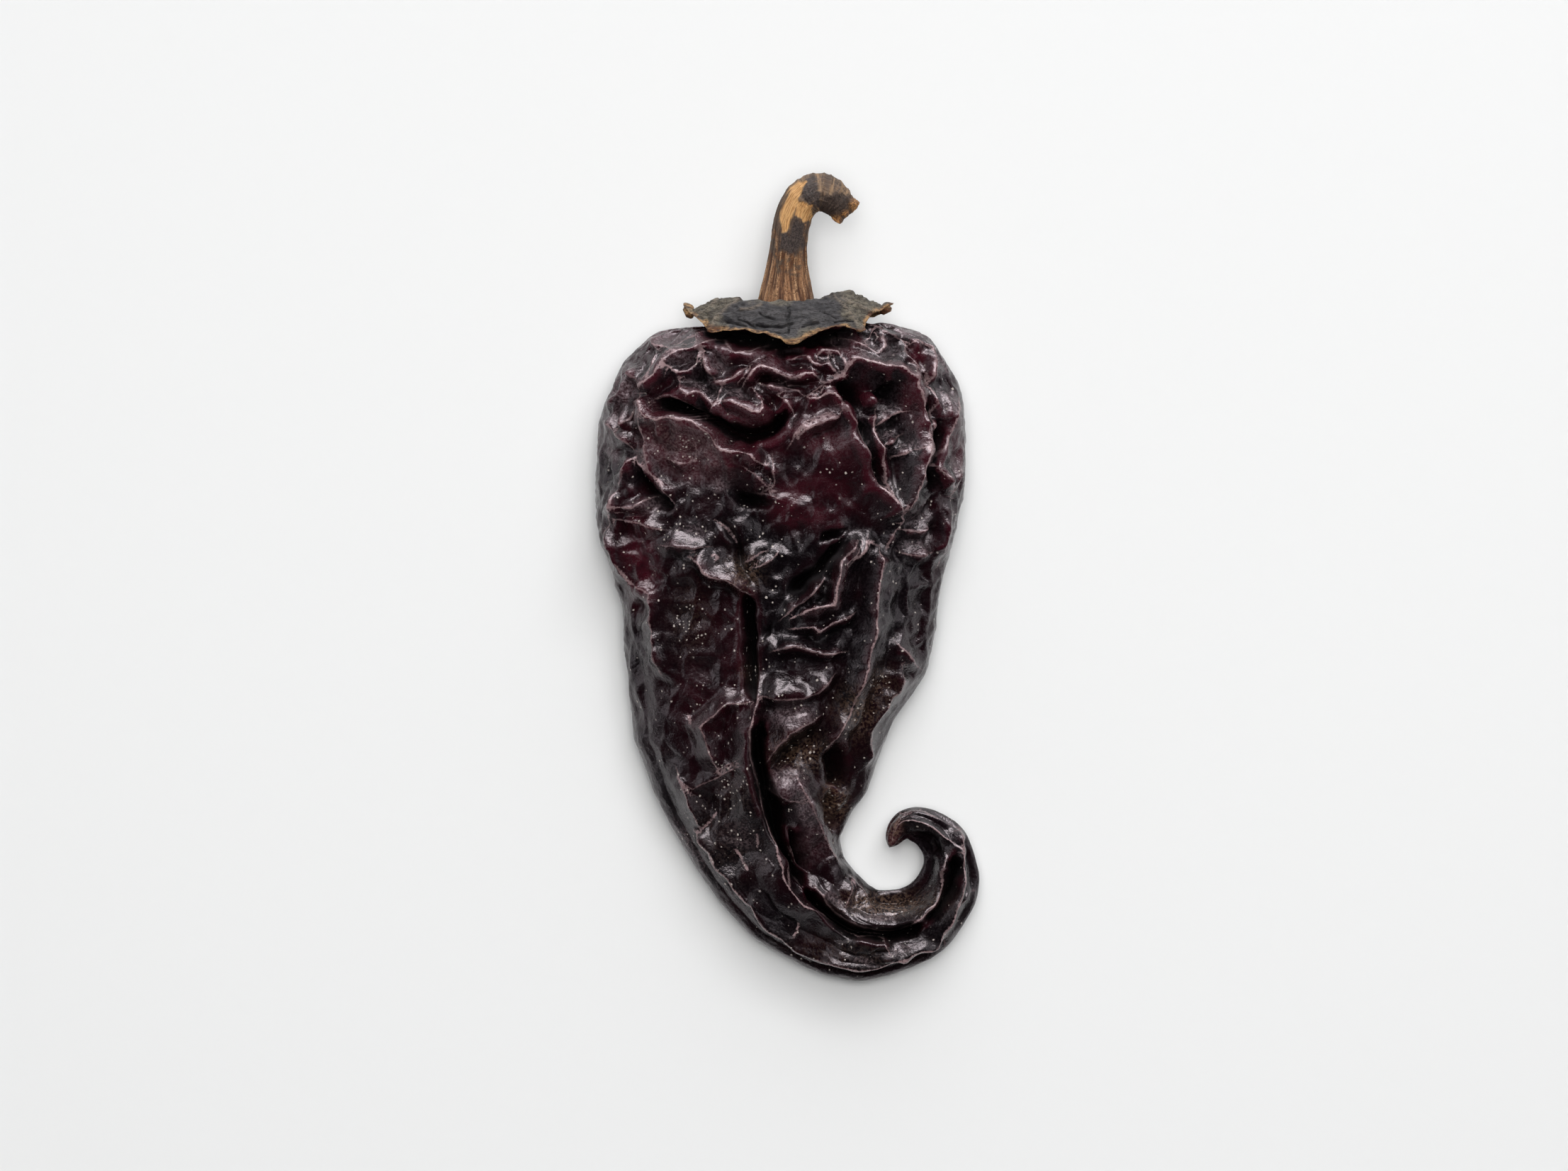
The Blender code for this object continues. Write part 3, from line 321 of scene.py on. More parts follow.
# crest lines of the folds: height, reach to the left and right of the route, pale line, route
podCrests = (
    (2.2, 1.8, 1.8, 1.0, (-26, 32.3, -25, 33.7, -23.5, 34.5, -22.3, 35.5, -21.5, 36.8, -20.5, 37.8,
                          -18.7, 39.7, -17, 40.2, -15.5, 41, -13, 41.5, -11.8, 41.4, -10.5, 40.3,
                          -9, 39.6, -7.5, 39.5, -6, 39.8, -4.8, 40.4)),
    (1.0, 1.0, 1.0, 0.7, (-19, 41, -17, 42.3, -16, 42.7, -15.5, 41)),
    (1.6, 1.2, 1.4, 0.9, (-15.5, 41, -15.2, 39.5, -15.5, 37.5, -17, 36, -18.5, 35.8, -19.5, 36.3,
                          -20.5, 37.8)),
    (1.8, 1.4, 1.4, 0.9, (-14.8, 40.5, -14.3, 39, -14, 37, -13, 35.5, -12.5, 34.5, -11, 34.3,
                          -9.8, 34.8, -8.5, 35.5, -7, 36.8)),
    (1.7, 1.3, 1.3, 0.9, (-11, 34.3, -11.3, 33.5, -12, 31.5, -12.7, 29.9, -14, 31, -15, 32.3,
                          -16, 32.3, -17, 31.8, -18, 33, -18.5, 34.5)),
    (1.4, 1.2, 0.8, 0.8, (-22.8, 31.8, -20, 32, -18, 30.8, -16.5, 29.7, -15, 28.8)),
    (2.0, 1.8, 0.9, 1.0, (-12, 30.8, -10.5, 30.9, -9, 30.7, -7.5, 29.9, -6, 29, -5, 28.8, -4.4, 29.5,
                          -4.5, 31, -6, 32.8)),
    (1.7, 1.4, 1.4, 0.9, (-8, 33.8, -6.2, 36, -5.2, 37, -3.5, 36.8, -2, 35.9, -1, 35.3, 0.5, 34.8,
                          1.7, 35.1, 3, 35.6, 4, 35.6, 5, 34.9, 5.5, 34.5)),
    (2.6, 1.0, 3.0, 1.0, (-26, 32.3, -25.2, 31, -24.7, 29.7, -23.5, 28.3, -22, 27.7, -20.2, 28.1,
                          -18, 27.6, -16, 27.4, -15, 26.4, -14, 25.6, -12.8, 24.7, -12.4, 23.5,
                          -11.5, 22.5, -10, 22.1, -8.5, 22.2, -6.5, 21.5, -5, 20.4, -4.3, 20)),
    (1.6, 1.4, 1.4, 0.8, (-26, 32.3, -26.8, 30.2, -28.2, 28, -29.2, 26.8, -29.6, 26)),
    (1.4, 1.3, 1.3, 0.8, (-33, 28, -31.5, 26.8, -30.5, 25.8, -29, 24.7, -28, 24, -27.5, 22.8)),
    (1.2, 1.2, 1.2, 0.6, (-32.3, 29.5, -30.5, 31.5, -29.6, 32.3, -29.2, 33.8, -29.6, 35.5)),
    (1.5, 1.4, 1.4, 0.7, (-25.3, 28.7, -25.5, 26.5, -25.2, 24.5, -24.9, 22.5, -24.2, 20,
                          -23.5, 18.3, -22.2, 16.5)),
    (1.2, 1.2, 1.2, 0.8, (-24.5, 42.8, -23.5, 41.8, -22.5, 40.8, -21, 40.4, -19, 39.8)),
    (1.1, 1.2, 1.2, 0.6, (-23, 40.5, -22.5, 39, -23.2, 37.5, -23.5, 35.5)),
    (1.1, 1.2, 1.2, 0.5, (-28, 36.8, -26, 34.5, -25.8, 33.5)),
    (0.8, 0.9, 0.9, 0.5, (-16.4, 23.3, -16.4, 20.8)),
    (1.4, 1.2, 1.2, 0.9, (1.2, 38.4, 2.5, 38.8, 3.3, 38.5, 4.2, 37.5, 5.5, 37.2, 6.8, 37.5, 7.5, 36.5,
                          8.5, 35.6, 9.5, 35.3)),
    (1.0, 1.0, 1.0, 0.7, (6.9, 39, 6.8, 37.5)),
    (1.4, 1.2, 1.2, 0.9, (5.3, 39, 6, 39.7, 7.5, 39.8, 8.5, 39.5, 9.5, 38.3, 9.9, 37, 9.7, 35.8)),
    (1.6, 1.3, 1.3, 1.0, (8.7, 41, 9, 42.3, 10.5, 41.8, 12.5, 41, 14, 40.2, 15, 39.5, 15.7, 39.3,
                          16.2, 40.3, 17, 41, 16.5, 42, 17, 43)),
    (0.9, 1.0, 1.0, 0.8, (13.3, 41.7, 14.5, 42.2, 15.2, 43)),
    (1.2, 1.2, 1.2, 0.8, (15, 44.2, 16.5, 43.4, 18, 42.8, 19.5, 42, 20.2, 41.8)),
    (1.7, 1.3, 1.3, 0.9, (20.8, 40.8, 21.5, 41.8, 23, 41.1, 24.2, 40.4, 24.9, 39, 25.2, 37.2,
                          25, 35, 24.6, 34)),
    (1.3, 1.2, 1.2, 0.8, (20.8, 40.8, 20.4, 39.8, 21, 38.8, 22, 37.5, 23, 36.3, 24, 35)),
    (2.6, 1.8, 2.4, 1.0, (9.7, 35.8, 10.3, 37.3, 10.8, 38.3, 11.5, 38.3, 13, 37.8, 15, 37.4,
                          17, 37.1, 18.5, 36.7, 19.5, 35.9, 20.5, 35.4, 21.2, 35.4, 21.8, 33.5,
                          22.5, 32, 23.1, 30.7, 23.7, 29, 23.9, 26.5, 23.8, 24, 23.5, 22,
                          23.3, 20, 22.5, 18, 21.7, 15.5, 21, 13.5, 20, 12.4, 19.5, 11)),
    (1.4, 1.0, 1.0, 0.8, (25, 33.5, 25.7, 32.2, 25.7, 31, 25.4, 29, 25.3, 26.5, 25.1, 25,
                          24.6, 23.5, 24.2, 22, 24, 20.5)),
    (1.3, 1.1, 1.1, 0.8, (20.8, 35.5, 21.3, 36.5, 22, 36.8, 22.8, 36, 23.5, 34, 24.5, 34, 25, 33.5)),
    (1.8, 1.4, 1.4, 0.9, (30.3, 32.2, 29.6, 31, 29.2, 29, 28.7, 27, 28.3, 25.5, 27.6, 23.8,
                          26.6, 22, 25.8, 20.5, 25.3, 20, 26.5, 18.5, 27.8, 17, 28.9, 15.7)),
    (1.1, 1.2, 1.2, 0.6, (28.9, 15.2, 29.8, 17.5, 30.5, 20)),
    (1.3, 1.4, 1.4, 0.7, (28.7, 13.5, 28, 10, 27.3, 6.5, 26.7, 3)),
    (1.6, 1.8, 0.8, 0.8, (15.3, 26.3, 17, 27.7, 18.5, 28.6, 20, 29.2, 21, 29.3)),
    (1.2, 1.4, 0.7, 0.7, (16, 23, 18, 23.8, 19.8, 24.8)),
    (1.3, 1.5, 0.8, 0.7, (18.8, 21.2, 20, 21.8, 21.5, 22.5, 23, 23)),
    (1.8, 1.4, 1.4, 0.9, (15.8, 29.5, 15, 28, 14.8, 26, 15.3, 24.3, 16, 22.8, 16.3, 21, 16.5, 20,
                          16.9, 18, 17.4, 16, 17.8, 14.5, 18.6, 12.5, 19.3, 11, 19.7, 10.4)),
    (1.4, 1.3, 1.3, 0.9, (2.8, 31.8, 5, 33, 6.5, 34, 8, 34.8, 9.3, 35.2)),
    (2.3, 1.2, 2.2, 1.0, (2.8, 31.8, 4, 31.3, 5.5, 31.5, 6.5, 32.2, 7.5, 32.3, 8.5, 31.3, 9.3, 30.3,
                          10, 29.5, 11, 28, 11.7, 26.5, 12.2, 25.3, 12.8, 23.5, 13.2, 22, 13.8, 20.2,
                          14.3, 18.5, 15.2, 16.5, 16.5, 15, 17.5, 13.8, 18.6, 12.2, 19.6, 10.6)),
    (1.8, 2.2, 0.8, 0.9, (1.7, 24.5, 3, 25.8, 4.5, 26.7, 6.5, 27.5, 8.3, 28, 9.5, 29.7)),
    (1.2, 1.4, 0.7, 0.8, (0.3, 23.7, 1, 25, 2, 26.2, 3.5, 27.5, 5.5, 28.2, 7, 28.7)),
    (1.4, 1.3, 1.3, 0.8, (-5, 34, -2, 33.2, 0, 33.2, 1.5, 32.8, 2.5, 32)),
    (1.1, 1.1, 1.1, 0.8, (-1.5, 31.5, 0, 30.3, 1, 28.8)),
    (1.7, 1.8, 1.6, 0.8, (-26.8, 21, -28.5, 19.8, -28.9, 18, -29.3, 16, -29.9, 14, -30.4, 12,
                          -31.2, 9.2, -31.7, 8, -30.3, 4, -28.8, 1, -28.2, -0.5)),
    (1.4, 1.4, 1.4, 0.8, (-26.8, 21, -25.5, 19.7, -24, 18.5, -22.8, 16.7, -22, 15.5, -20.8, 13.5)),
    (1.3, 1.2, 0.8, 0.7, (-30, 12.3, -28, 12.2, -26.5, 12.3, -24.5, 14)),
    (1.2, 1.2, 1.2, 0.7, (-29.8, 10.2, -27.5, 9.8, -25, 9.3, -23, 8.8)),
    (1.8, 2.2, 0.7, 0.9, (-16.7, 3.5, -15.5, 3, -14.8, 2.2, -14.3, 1, -13.3, 0, -12, -0.3,
                          -10.5, -0.5, -9.5, -1, -8.7, -1.6, -8, -2.2, -7.4, -2.4)),
    (0.9, 1.0, 1.0, 0.6, (-7.5, 3, -6, 3.8, -4.5, 4.6)),
    (0.9, 0.8, 1.2, 0.8, (-5.7, 2.2, -4, 2.7, -2.8, 3.3, -2, 4.5)),
    (1.4, 0.8, 1.4, 0.6, (-7, 18.9, -5.5, 18, -4.5, 17, -3.5, 16, -2.5, 15.6)),
    (0.9, 1.0, 1.0, 0.6, (-2.7, 20.5, -2.8, 18.5, -2.5, 17)),
    (0.8, 0.9, 0.9, 0.5, (-5, 15, -3, 14.6, -2.2, 14.3)),
    (1.4, 1.8, 1.4, 0.6, (-27.8, -1, -26, -2, -24.8, -3, -24.3, -6, -24, -8, -23, -16)),
    (2.2, 2.4, 0.7, 1.0, (12, 6.3, 10.8, 5, 9.8, 4, 9, 3, 8.6, 2, 8.4, 0.5, 8.1, -1, 7.9, -2.5,
                          7.8, -3.8, 7.3, -4.7, 6, -5, 4.5, -5.2, 3, -5.7, 2, -6.3, 0.8, -6.9)),
    (1.2, 1.1, 1.1, 0.8, (13.8, 6.5, 13.5, 5.5, 12.5, 4.2, 11.3, 3.3, 10.5, 2.3)),
    (0.8, 0.9, 0.9, 0.7, (13.8, 6.5, 15, 6, 16, 5.7)),
    (1.8, 2.0, 1.4, 0.8, (16.1, 4.5, 15.8, 0, 15.5, -4, 15, -8, 14.6, -11, 14, -13, 12.8, -17,
                          12, -19.5, 11.4, -21.5, 10.5, -24, 9.5, -25.5, 8.5, -27.5, 7.3, -29.5)),
    (0.9, 1.0, 1.0, 0.7, (17.5, 5.5, 18.3, 7.3, 19.3, 8.7)),
    (1.6, 0.9, 1.6, 0.8, (-0.5, -6.5, 1, -5.2, 2.5, -4, 4, -2.5, 5.2, -1.2, 6, -0.5)),
    (1.6, 1.8, 0.8, 0.7, (1.2, -8.7, 4, -8.5, 5, -9.3, 7, -8, 9, -7.3, 11, -6.5)),
    (1.6, 1.4, 1.4, 0.8, (-7, -21.5, -8.5, -21.8, -10.5, -21.9, -12.5, -23.5, -14, -24.7,
                          -15.5, -26.2, -14.5, -28.5, -13.8, -31, -12.8, -33.5)),
    (1.0, 1.1, 1.1, 0.5, (-12.7, -33.7, -11, -32.8, -9.5, -32)),
    (1.0, 1.2, 1.2, 0.5, (-20, -35, -17.5, -37, -15, -36, -12, -34.5, -9, -33)),
    (2.6, 0.8, 2.6, 1.0, (-5.4, -21, -5.5, -23, -6, -25, -6.7, -27, -7, -29, -6.9, -31, -6.3, -33,
                          -5.8, -35, -5.2, -37, -4.7, -40, -3.7, -42.5, -3, -45, -2.3, -47,
                          -1.7, -49, -1.2, -51, -0.7, -53, 0, -54.7, 1, -55.6, 2, -56.7, 3, -57.6,
                          4.2, -58.3, 5.5, -58.9, 7, -59.8, 8.2, -60.7, 9.3, -61.6, 10.3, -62.3,
                          11.5, -62.8, 12.5, -63.2, 14, -63.1, 15.8, -63.2, 16.7, -63.7,
                          17.2, -64.5, 17.6, -65.5)),
    (1.4, 1.5, 1.5, 0.6, (-20, -34.5, -19, -37, -18, -40, -16.8, -42.5, -16.2, -44.5)),
    (2.0, 1.6, 2.2, 0.7, (1.2, -35, 2.5, -38, 3.5, -40, 4.5, -42, 5.5, -44, 6.3, -46, 7, -47.5,
                          8, -49, 9, -50)),
    (2.0, 2.6, 0.8, 0.6, (-3.5, -37, -2, -38.3, 0, -38.8, 2, -39.2)),
    (1.3, 1.3, 1.3, 0.6, (20, -12, 21.5, -14, 23.3, -15.7)),
    (1.3, 1.3, 1.3, 0.7, (20.5, -16, 20.3, -18, 19.5, -20, 18, -21, 16.5, -24, 15, -27, 14.6, -30,
                          14.3, -33)),
    (2.2, 2.2, 0.7, 0.9, (-17, -44.8, -16, -46, -15, -47.5, -14, -48.5, -13.3, -50, -12.5, -51.3,
                          -11, -52.3, -10, -53.2, -9.3, -54.5, -8.5, -56, -7.5, -57.2, -6.3, -57.8,
                          -5.5, -59, -4.5, -60.5, -3.5, -61.8, -2, -63, -0.5, -64.2, 1, -65.3,
                          3, -66.5, 5, -67.4, 7.5, -68, 10, -68.5, 12, -68.8, 14, -68.8,
                          15.5, -68.5, 17, -67.8, 18.5, -67.3, 20, -67, 21.5, -66.5, 23, -65.8,
                          25, -65.5, 26.3, -64.8, 27, -63.7, 27.8, -62, 28.7, -60, 29.6, -58,
                          30.3, -56, 30.8, -54, 31, -52, 31.2, -50, 31.1, -48, 30.6, -45.8,
                          30.2, -44)),
    (1.1, 1.1, 1.1, 0.6, (33, -55.5, 31, -57, 30, -58.8, 29.3, -60.3, 28.3, -62.5, 28, -65)),
    (2.2, 1.4, 0.9, 1.0, (5, -54.5, 6.5, -56.5, 8.5, -58.5, 10.5, -60, 12, -60.9, 14, -61.5,
                          16, -61.8, 18, -61.9, 19.5, -61.7, 21.5, -61, 23.5, -59.9, 25, -58.3,
                          26.2, -56.5, 26.8, -54.5, 27, -52.5, 27.4, -50.7, 27.8, -49.5)),
    (1.0, 0.9, 0.9, 0.9, (18.3, -45.2, 18.4, -43.7, 19, -42.6, 20, -41.8, 21.5, -41.4)),
    (1.3, 1.0, 1.0, 0.9, (18.8, -44.7, 19.2, -43.7, 20.2, -42.9, 22, -42.6, 23.5, -42.8, 25, -43.7,
                          26.8, -45, 28.5, -46.2, 30, -47.2, 31, -47.7)),
    (0.9, 0.9, 0.9, 0.8, (20, -41.3, 23.5, -40.6, 24.5, -41.2, 27, -42.3, 29.5, -43.5, 30.5, -44.3)),
    (1.0, 1.0, 1.0, 0.8, (11.5, -52.7, 13, -54, 14.5, -56, 14.8, -57)),
    (0.9, 1.0, 1.0, 0.7, (11.3, -53.5, 11, -56, 10.3, -58)),
    (2.0, 0.7, 2.6, 0.5, (5, -24.6, 3, -25.6, 0, -27, -1.8, -29.2, -3.4, -31.5)),
    (1.6, 2.2, 0.8, 0.5, (-4.2, -20.6, -1, -21.3, 2, -21.2, 5, -20.2, 7.5, -17.5)),
    (1.3, 1.6, 0.8, 0.6, (-2, -12.6, 1, -12, 4, -12.8, 7, -13.4, 9.5, -13)),
    (1.2, 1.6, 0.8, 0.5, (-22, 5.6, -19, 5.4, -16.5, 5.2, -14.5, 5.6)),
    (1.1, 1.5, 0.8, 0.6, (20.6, 8.6, 22.5, 8.2, 25, 8.9)),
    (1.1, 1.5, 0.8, 0.6, (20.8, 4.4, 22.6, 3.8, 24.8, 4.6)),
    (1.2, 1.2, 0.7, 0.5, (-20.5, 20.6, -18.6, 19.9, -16.6, 20.4)),
)

# sunk creases: depth, reach, steepness of the walls, darkness of the painted shade in them, route
podCreases = (
    (4.2, 1.0, 3, 1.0, (-22.8, 31.2, -20, 30.2, -17, 28.9, -14, 27.7, -11, 26.3, -8, 25.5, -5, 25.2,
                        -2.8, 26.0, -1, 28.0, -0.5, 29.3)),
    (2.2, 1.0, 2, 0.9, (-27, 19.5, -26, 17, -24.5, 15, -23, 13.7, -21.5, 12.7, -20.5, 12.9)),
    (1.2, 1.0, 2, 0.2, (-27, 29.5, -29, 26.5)),
    (2.0, 0.85, 2, 0.9, (-10.5, 14.8, -8, 14, -6, 13.8, -4, 13.3, -2.5, 13.5)),
    (4.4, 1.5, 2, 0.9, (8.2, 33.6, 10.2, 33.0, 11.6, 31.6, 12.3, 29.8)),
    (2.2, 1.3, 2, 0.4, (19.5, 34, 17.5, 32.8, 15.5, 32)),
    (2.4, 1.0, 2, 0.6, (11.9, 28, 13, 25, 14.2, 22, 15, 19.5, 16.2, 17, 17.6, 15)),
    (3.6, 0.8, 3, 1.0, (26.6, 28, 26.4, 25, 25.6, 22, 24.8, 19)),
    (2.2, 1.3, 2, 0.7, (24.8, 19.5, 25.8, 17.2, 27, 15.6)),
    (1.6, 0.6, 2, 0.4, (24.6, 32, 24.7, 26)),
    (2.2, 0.8, 3, 0.9, (5.5, 6.3, 7, 7.3, 8.5, 7.8, 10.3, 8.4)),
    (2.6, 1.2, 2, 0.9, (0, -2.5, 3.5, 0.2, 5.6, 1.2, 7, 2.6, 8.4, 4.6, 10.3, 6.4)),
    (3.8, 1.0, 3, 1.0, (-7.3, -2.5, -7.3, -7, -7, -12, -6.6, -16, -7, -19, -5.9, -21.5)),
    (2.2, 1.6, 2, 0.8, (-4.6, -8.5, -3.2, -10)),
    (1.0, 0.7, 2, 0.3, (-12.8, 10.5, -11.5, 9.8, -10.8, 8.8, -10, 7.5, -9.3, 6.3, -9, 4, -8.6, 3,
                        -8, 1.5, -7, 0.3, -6, -1)),
    (4.6, 1.15, 3, 1.0, (-4.6, -25, -5.6, -28, -5.8, -31, -4.9, -34, -4.2, -37, -3, -40, -2, -43,
                         -1.2, -46, 1.2, -50, 3.0, -54)),
    (3.6, 1.1, 2, 0.8, (0.2, -44, 2.2, -48, 4, -51)),
    (4.4, 0.95, 3, 1.0, (3.0, -54, 5, -56.8, 7, -58.7, 9, -60.5, 11, -61.9, 15, -62.7, 18, -62.9,
                         21, -62.2, 24, -60.8)),
    (3.4, 1.1, 2, 0.8, (24, -60.8, 26.5, -58.5, 28.5, -55, 29.5, -51, 29.6, -48.5)),
    (1.8, 1.5, 1.5, 0.4, (6.5, -26.6, 4, -27.9, 1.5, -29.4, -1, -31.2, -2.5, -32.6)),
    (3.4, 1.7, 2, 0.75, (8.8, -29.0, 9.2, -32, 9.7, -34.5, 10.8, -37.0)),
    (2.0, 1.0, 2, 0.4, (8.2, -37, 8.4, -40, 8.6, -43, 8.6, -45)),
    (2.0, 1.4, 2, 0.5, (22, -45.3, 24.5, -46.3, 27, -48.5)),
    (4.5, 1.5, 3, 1.0, (-15, 42.9, -8, 42, 0, 41.0, 7, 42, 12, 42.8)),
    (2.6, 1.1, 2, 0.7, (-3.5, 39.8, 0, 39.6, 4.5, 39.6)),
    (1.8, 0.8, 2, 0.6, (-23.4, 39.6, -24, 37.6)),
    (1.6, 0.8, 2, 0.5, (-21.5, 33.5, -21.6, 35.4)),
    (1.6, 0.8, 2, 0.5, (-14.3, 35.4, -12.6, 34.9, -11, 35.2)),
    (1.8, 0.9, 2, 0.5, (-6, 34.8, -3, 34.8, 0, 33.9, 3, 34.2)),
)

# rounded lobes: x, y, radius along and across, turn in degrees, height
podLobes = (
    (-8.0, 28.5, 5.6, 2.9, -8, 2.0), (-17.5, 32.6, 3.4, 2.2, -30, 0.9), (14.4, 31.0, 1.5, 1.5, 0, 2.4),
    (-0.5, -18.6, 4.4, 2.6, 0, 0.9), (4.8, -16.0, 3.6, 4.4, 0, 0.9), (-0.6, -35.6, 3.4, 3.2, 20, 0.8),
    (2.6, -44.5, 3.4, 7.0, -28, 1.2), (9.0, -52.5, 3.2, 4.2, 40, 1.2), (18.5, -58.6, 7.0, 2.8, 0, 1.2),
    (-9.5, -40.5, 5.0, 8.0, -12, 1.2), (-4.0, -54.0, 4.0, 7.0, 40, 1.2), (13.0, -65.6, 7.0, 2.2, -2, 0.9),
    (-10.0, 8.0, 3.2, 2.6, 0, 0.6), (0.5, 12.0, 4.0, 3.4, 0, 0.9), (-27.3, 34.8, 2.0, 3.4, 25, 0.9),
    (27.0, 30.6, 1.6, 4.0, 8, 1.0), (9.0, 22.0, 4.0, 5.0, -20, 0.9), (-21.0, 23.5, 3.4, 3.4, 0, 0.7),
)

# broad hollows and swells: x, y, radius, height
podSwells = (
    (17.5, 29.0, 6.0, -2.2), (17.0, 18.0, 3.5, -1.6), (-21.0, 36.0, 5.0, 1.0), (-2.0, 8.0, 8.0, -1.2),
    (-16.0, 8.0, 8.0, 1.0), (8.0, 20.0, 6.0, 0.8), (-14.0, -40.0, 6.0, -1.2), (1.0, -24.0, 5.0, 1.8),
    (1.0, -37.0, 4.0, 1.4), (19.0, -57.0, 4.0, -1.6), (7.0, -64.5, 4.0, -1.2), (26.0, -55.0, 3.0, -0.8),
    (14.5, 31.0, 1.5, 1.2),
)

# dusty patches: x, y, radius along and across, turn in degrees, dust, specks
podDust = (
    (9.0, -39.5, 2.2, 3.4, 0, 0.9, 0.8), (16.0, -18.5, 2.6, 3.0, 0, 0.35, 0.9),
    (12.5, -23.5, 3.2, 4.0, 0, 0.5, 0.7), (-8.0, 1.0, 2.6, 2.6, 0, 0.5, 0.9),
    (-9.5, -38.0, 3.2, 3.6, 0, 0.1, 1.0), (-17.5, -7.0, 3.2, 6.0, 0, 0.1, 1.0),
    (2.0, -30.5, 4.4, 3.0, 0, 0.55, 0.5), (18.0, -56.8, 6.5, 2.0, 0, 1.0, 0.5),
    (-7.0, -16.5, 1.4, 2.0, 0, 0.3, 0.8), (-19.0, 10.0, 8.0, 8.0, 0, 0.0, 0.35),
    (-12.0, -46.0, 7.0, 9.0, -30, 0.05, 0.5), (10.0, -66.0, 12.0, 3.0, 0, 0.1, 0.35),
    (-18.0, 23.5, 7.0, 3.5, -20, 0.15, 0.45), (0.0, -5.0, 30.0, 40.0, 0, 0.0, 0.12),
    (18.4, -44.2, 1.5, 2.6, 0, 0.75, 0.1),
)

# tinted patches: x, y, radius along and across, turn in degrees, blush, and bloom, which is pale frosty bloom
# and a painted highlight on facets turned to the light
podTonesAndHighlights = (
    (-29.0, 33.5, 3.4, 2.0, 60, 0.0, 0.8), (-22.0, 42.2, 4.5, 1.8, 5, 0.7, 0.6),
    (-18.0, 38.2, 2.2, 1.6, 0, 0.3, 0.6), (-12.0, 37.8, 1.8, 2.4, 0, 0.0, 0.5),
    (-8.0, 28.2, 4.5, 2.0, -10, 0.7, 0.2), (-18.0, 22.5, 8.0, 5.0, -15, 0.9, 0.4),
    (6.0, 24.5, 5.5, 3.5, -30, 0.9, 0.15), (12.0, 40.3, 5.0, 2.0, -15, 0.5, 0.5),
    (22.8, 38.3, 1.8, 2.8, 30, 1.0, 0.0), (26.8, 38.0, 1.6, 2.6, 30, 0.2, 0.7),
    (27.8, 30.8, 2.0, 2.6, 20, 0.0, 0.7), (29.8, 22.0, 1.4, 6.0, 5, 0.8, 0.3),
    (21.8, 31.0, 1.8, 5.0, 10, 0.9, 0.1), (-26.0, 3.0, 3.0, 9.0, 0, 0.9, 0.0),
    (18.3, -45.0, 1.8, 2.6, 0, 1.0, 0.25), (3.0, 13.0, 7.0, 5.0, 0, 0.8, 0.0),
    (-4.0, 38.0, 4.0, 2.0, -30, 0.6, 0.35), (21.0, 44.0, 4.0, 1.2, -20, 0.4, 0.6),
    (-31.5, 24.0, 1.8, 4.0, 10, 0.3, 0.3), (5.5, -45.0, 3.0, 6.0, -25, 0.3, 0.25),
    (-13.0, -20.0, 8.0, 14.0, 0, 0.25, 0.0), (-30.5, 28.4, 2.2, 1.2, 50, 0.1, 0.6),
    (-22.6, 38.0, 0.8, 2.0, 0, 0.1, 0.5), (-16.0, 33.4, 2.4, 1.0, -30, 0.1, 0.6),
    (-12.8, 32.2, 0.7, 2.0, -15, 0.1, 0.8), (-9.0, 32.0, 2.4, 1.0, -15, 0.0, 0.8),
    (-5.2, 31.0, 0.7, 1.6, 20, 0.0, 0.7), (-4.7, 38.4, 0.7, 1.7, 0, 0.4, 0.8),
    (-1.5, 33.0, 2.6, 0.7, -5, 0.2, 0.7), (5.0, 27.9, 3.6, 0.6, 20, 0.1, 0.8),
    (17.8, 28.9, 2.8, 0.8, 25, 0.0, 0.8), (17.6, 25.1, 2.2, 0.7, 10, 0.0, 0.8),
    (21.2, 22.9, 1.8, 0.9, 25, 0.0, 0.9), (20.2, 43.4, 1.5, 1.1, -20, 0.5, 0.9),
    (18.0, 40.2, 1.8, 1.8, 0, 0.1, 0.6), (12.2, 39.0, 3.2, 0.6, -15, 0.2, 0.7),
    (24.0, 33.6, 1.2, 0.7, 0, 0.1, 0.8), (-24.2, 12.8, 2.2, 1.6, 20, 0.0, 0.7),
    (-18.0, 7.4, 3.6, 2.0, 10, 0.0, 0.5), (-12.0, 16.6, 2.0, 1.4, 0, 0.2, 0.5),
    (22.8, 10.4, 2.4, 1.6, 0, 0.0, 0.6), (22.6, 5.4, 2.4, 1.3, 0, 0.0, 0.6),
    (0.0, -35.6, 3.4, 2.6, 10, 0.1, 0.9), (0.5, -24.0, 3.6, 2.2, 0, 0.1, 0.7),
    (8.0, -56.2, 2.4, 0.9, -30, 0.0, 0.8), (3.2, -41.0, 1.8, 4.5, 25, 0.1, 0.6),
    (-9.0, -45.0, 3.4, 2.4, -20, 0.0, 0.35), (-18.5, -47.5, 1.2, 6.0, 30, 0.0, 0.4),
    (16.5, -59.4, 3.4, 0.7, 0, 0.1, 0.6), (13.0, -67.4, 2.2, 0.7, -10, 0.0, 0.5),
    (20.0, -65.2, 2.2, 0.9, 10, 0.0, 0.6),
)

# painted shade: dark patches without red or powder, where folds lie in shade: x, y, radius along and across,
# turn in degrees, share
podPaintedShade = (
    (-5.0, 9.0, 9.0, 9.0, 0, 0.90), (1.0, 4.0, 9.0, 7.0, 0, 0.80), (-21.0, 13.0, 6.0, 3.5, 20, 0.70),
    (21.5, 14.0, 5.0, 2.6, 70, 0.70), (-31.5, 22.0, 5.0, 2.2, 80, 0.60),
    (-3.0, -12.0, 12.0, 4.0, 90, 0.60),
)
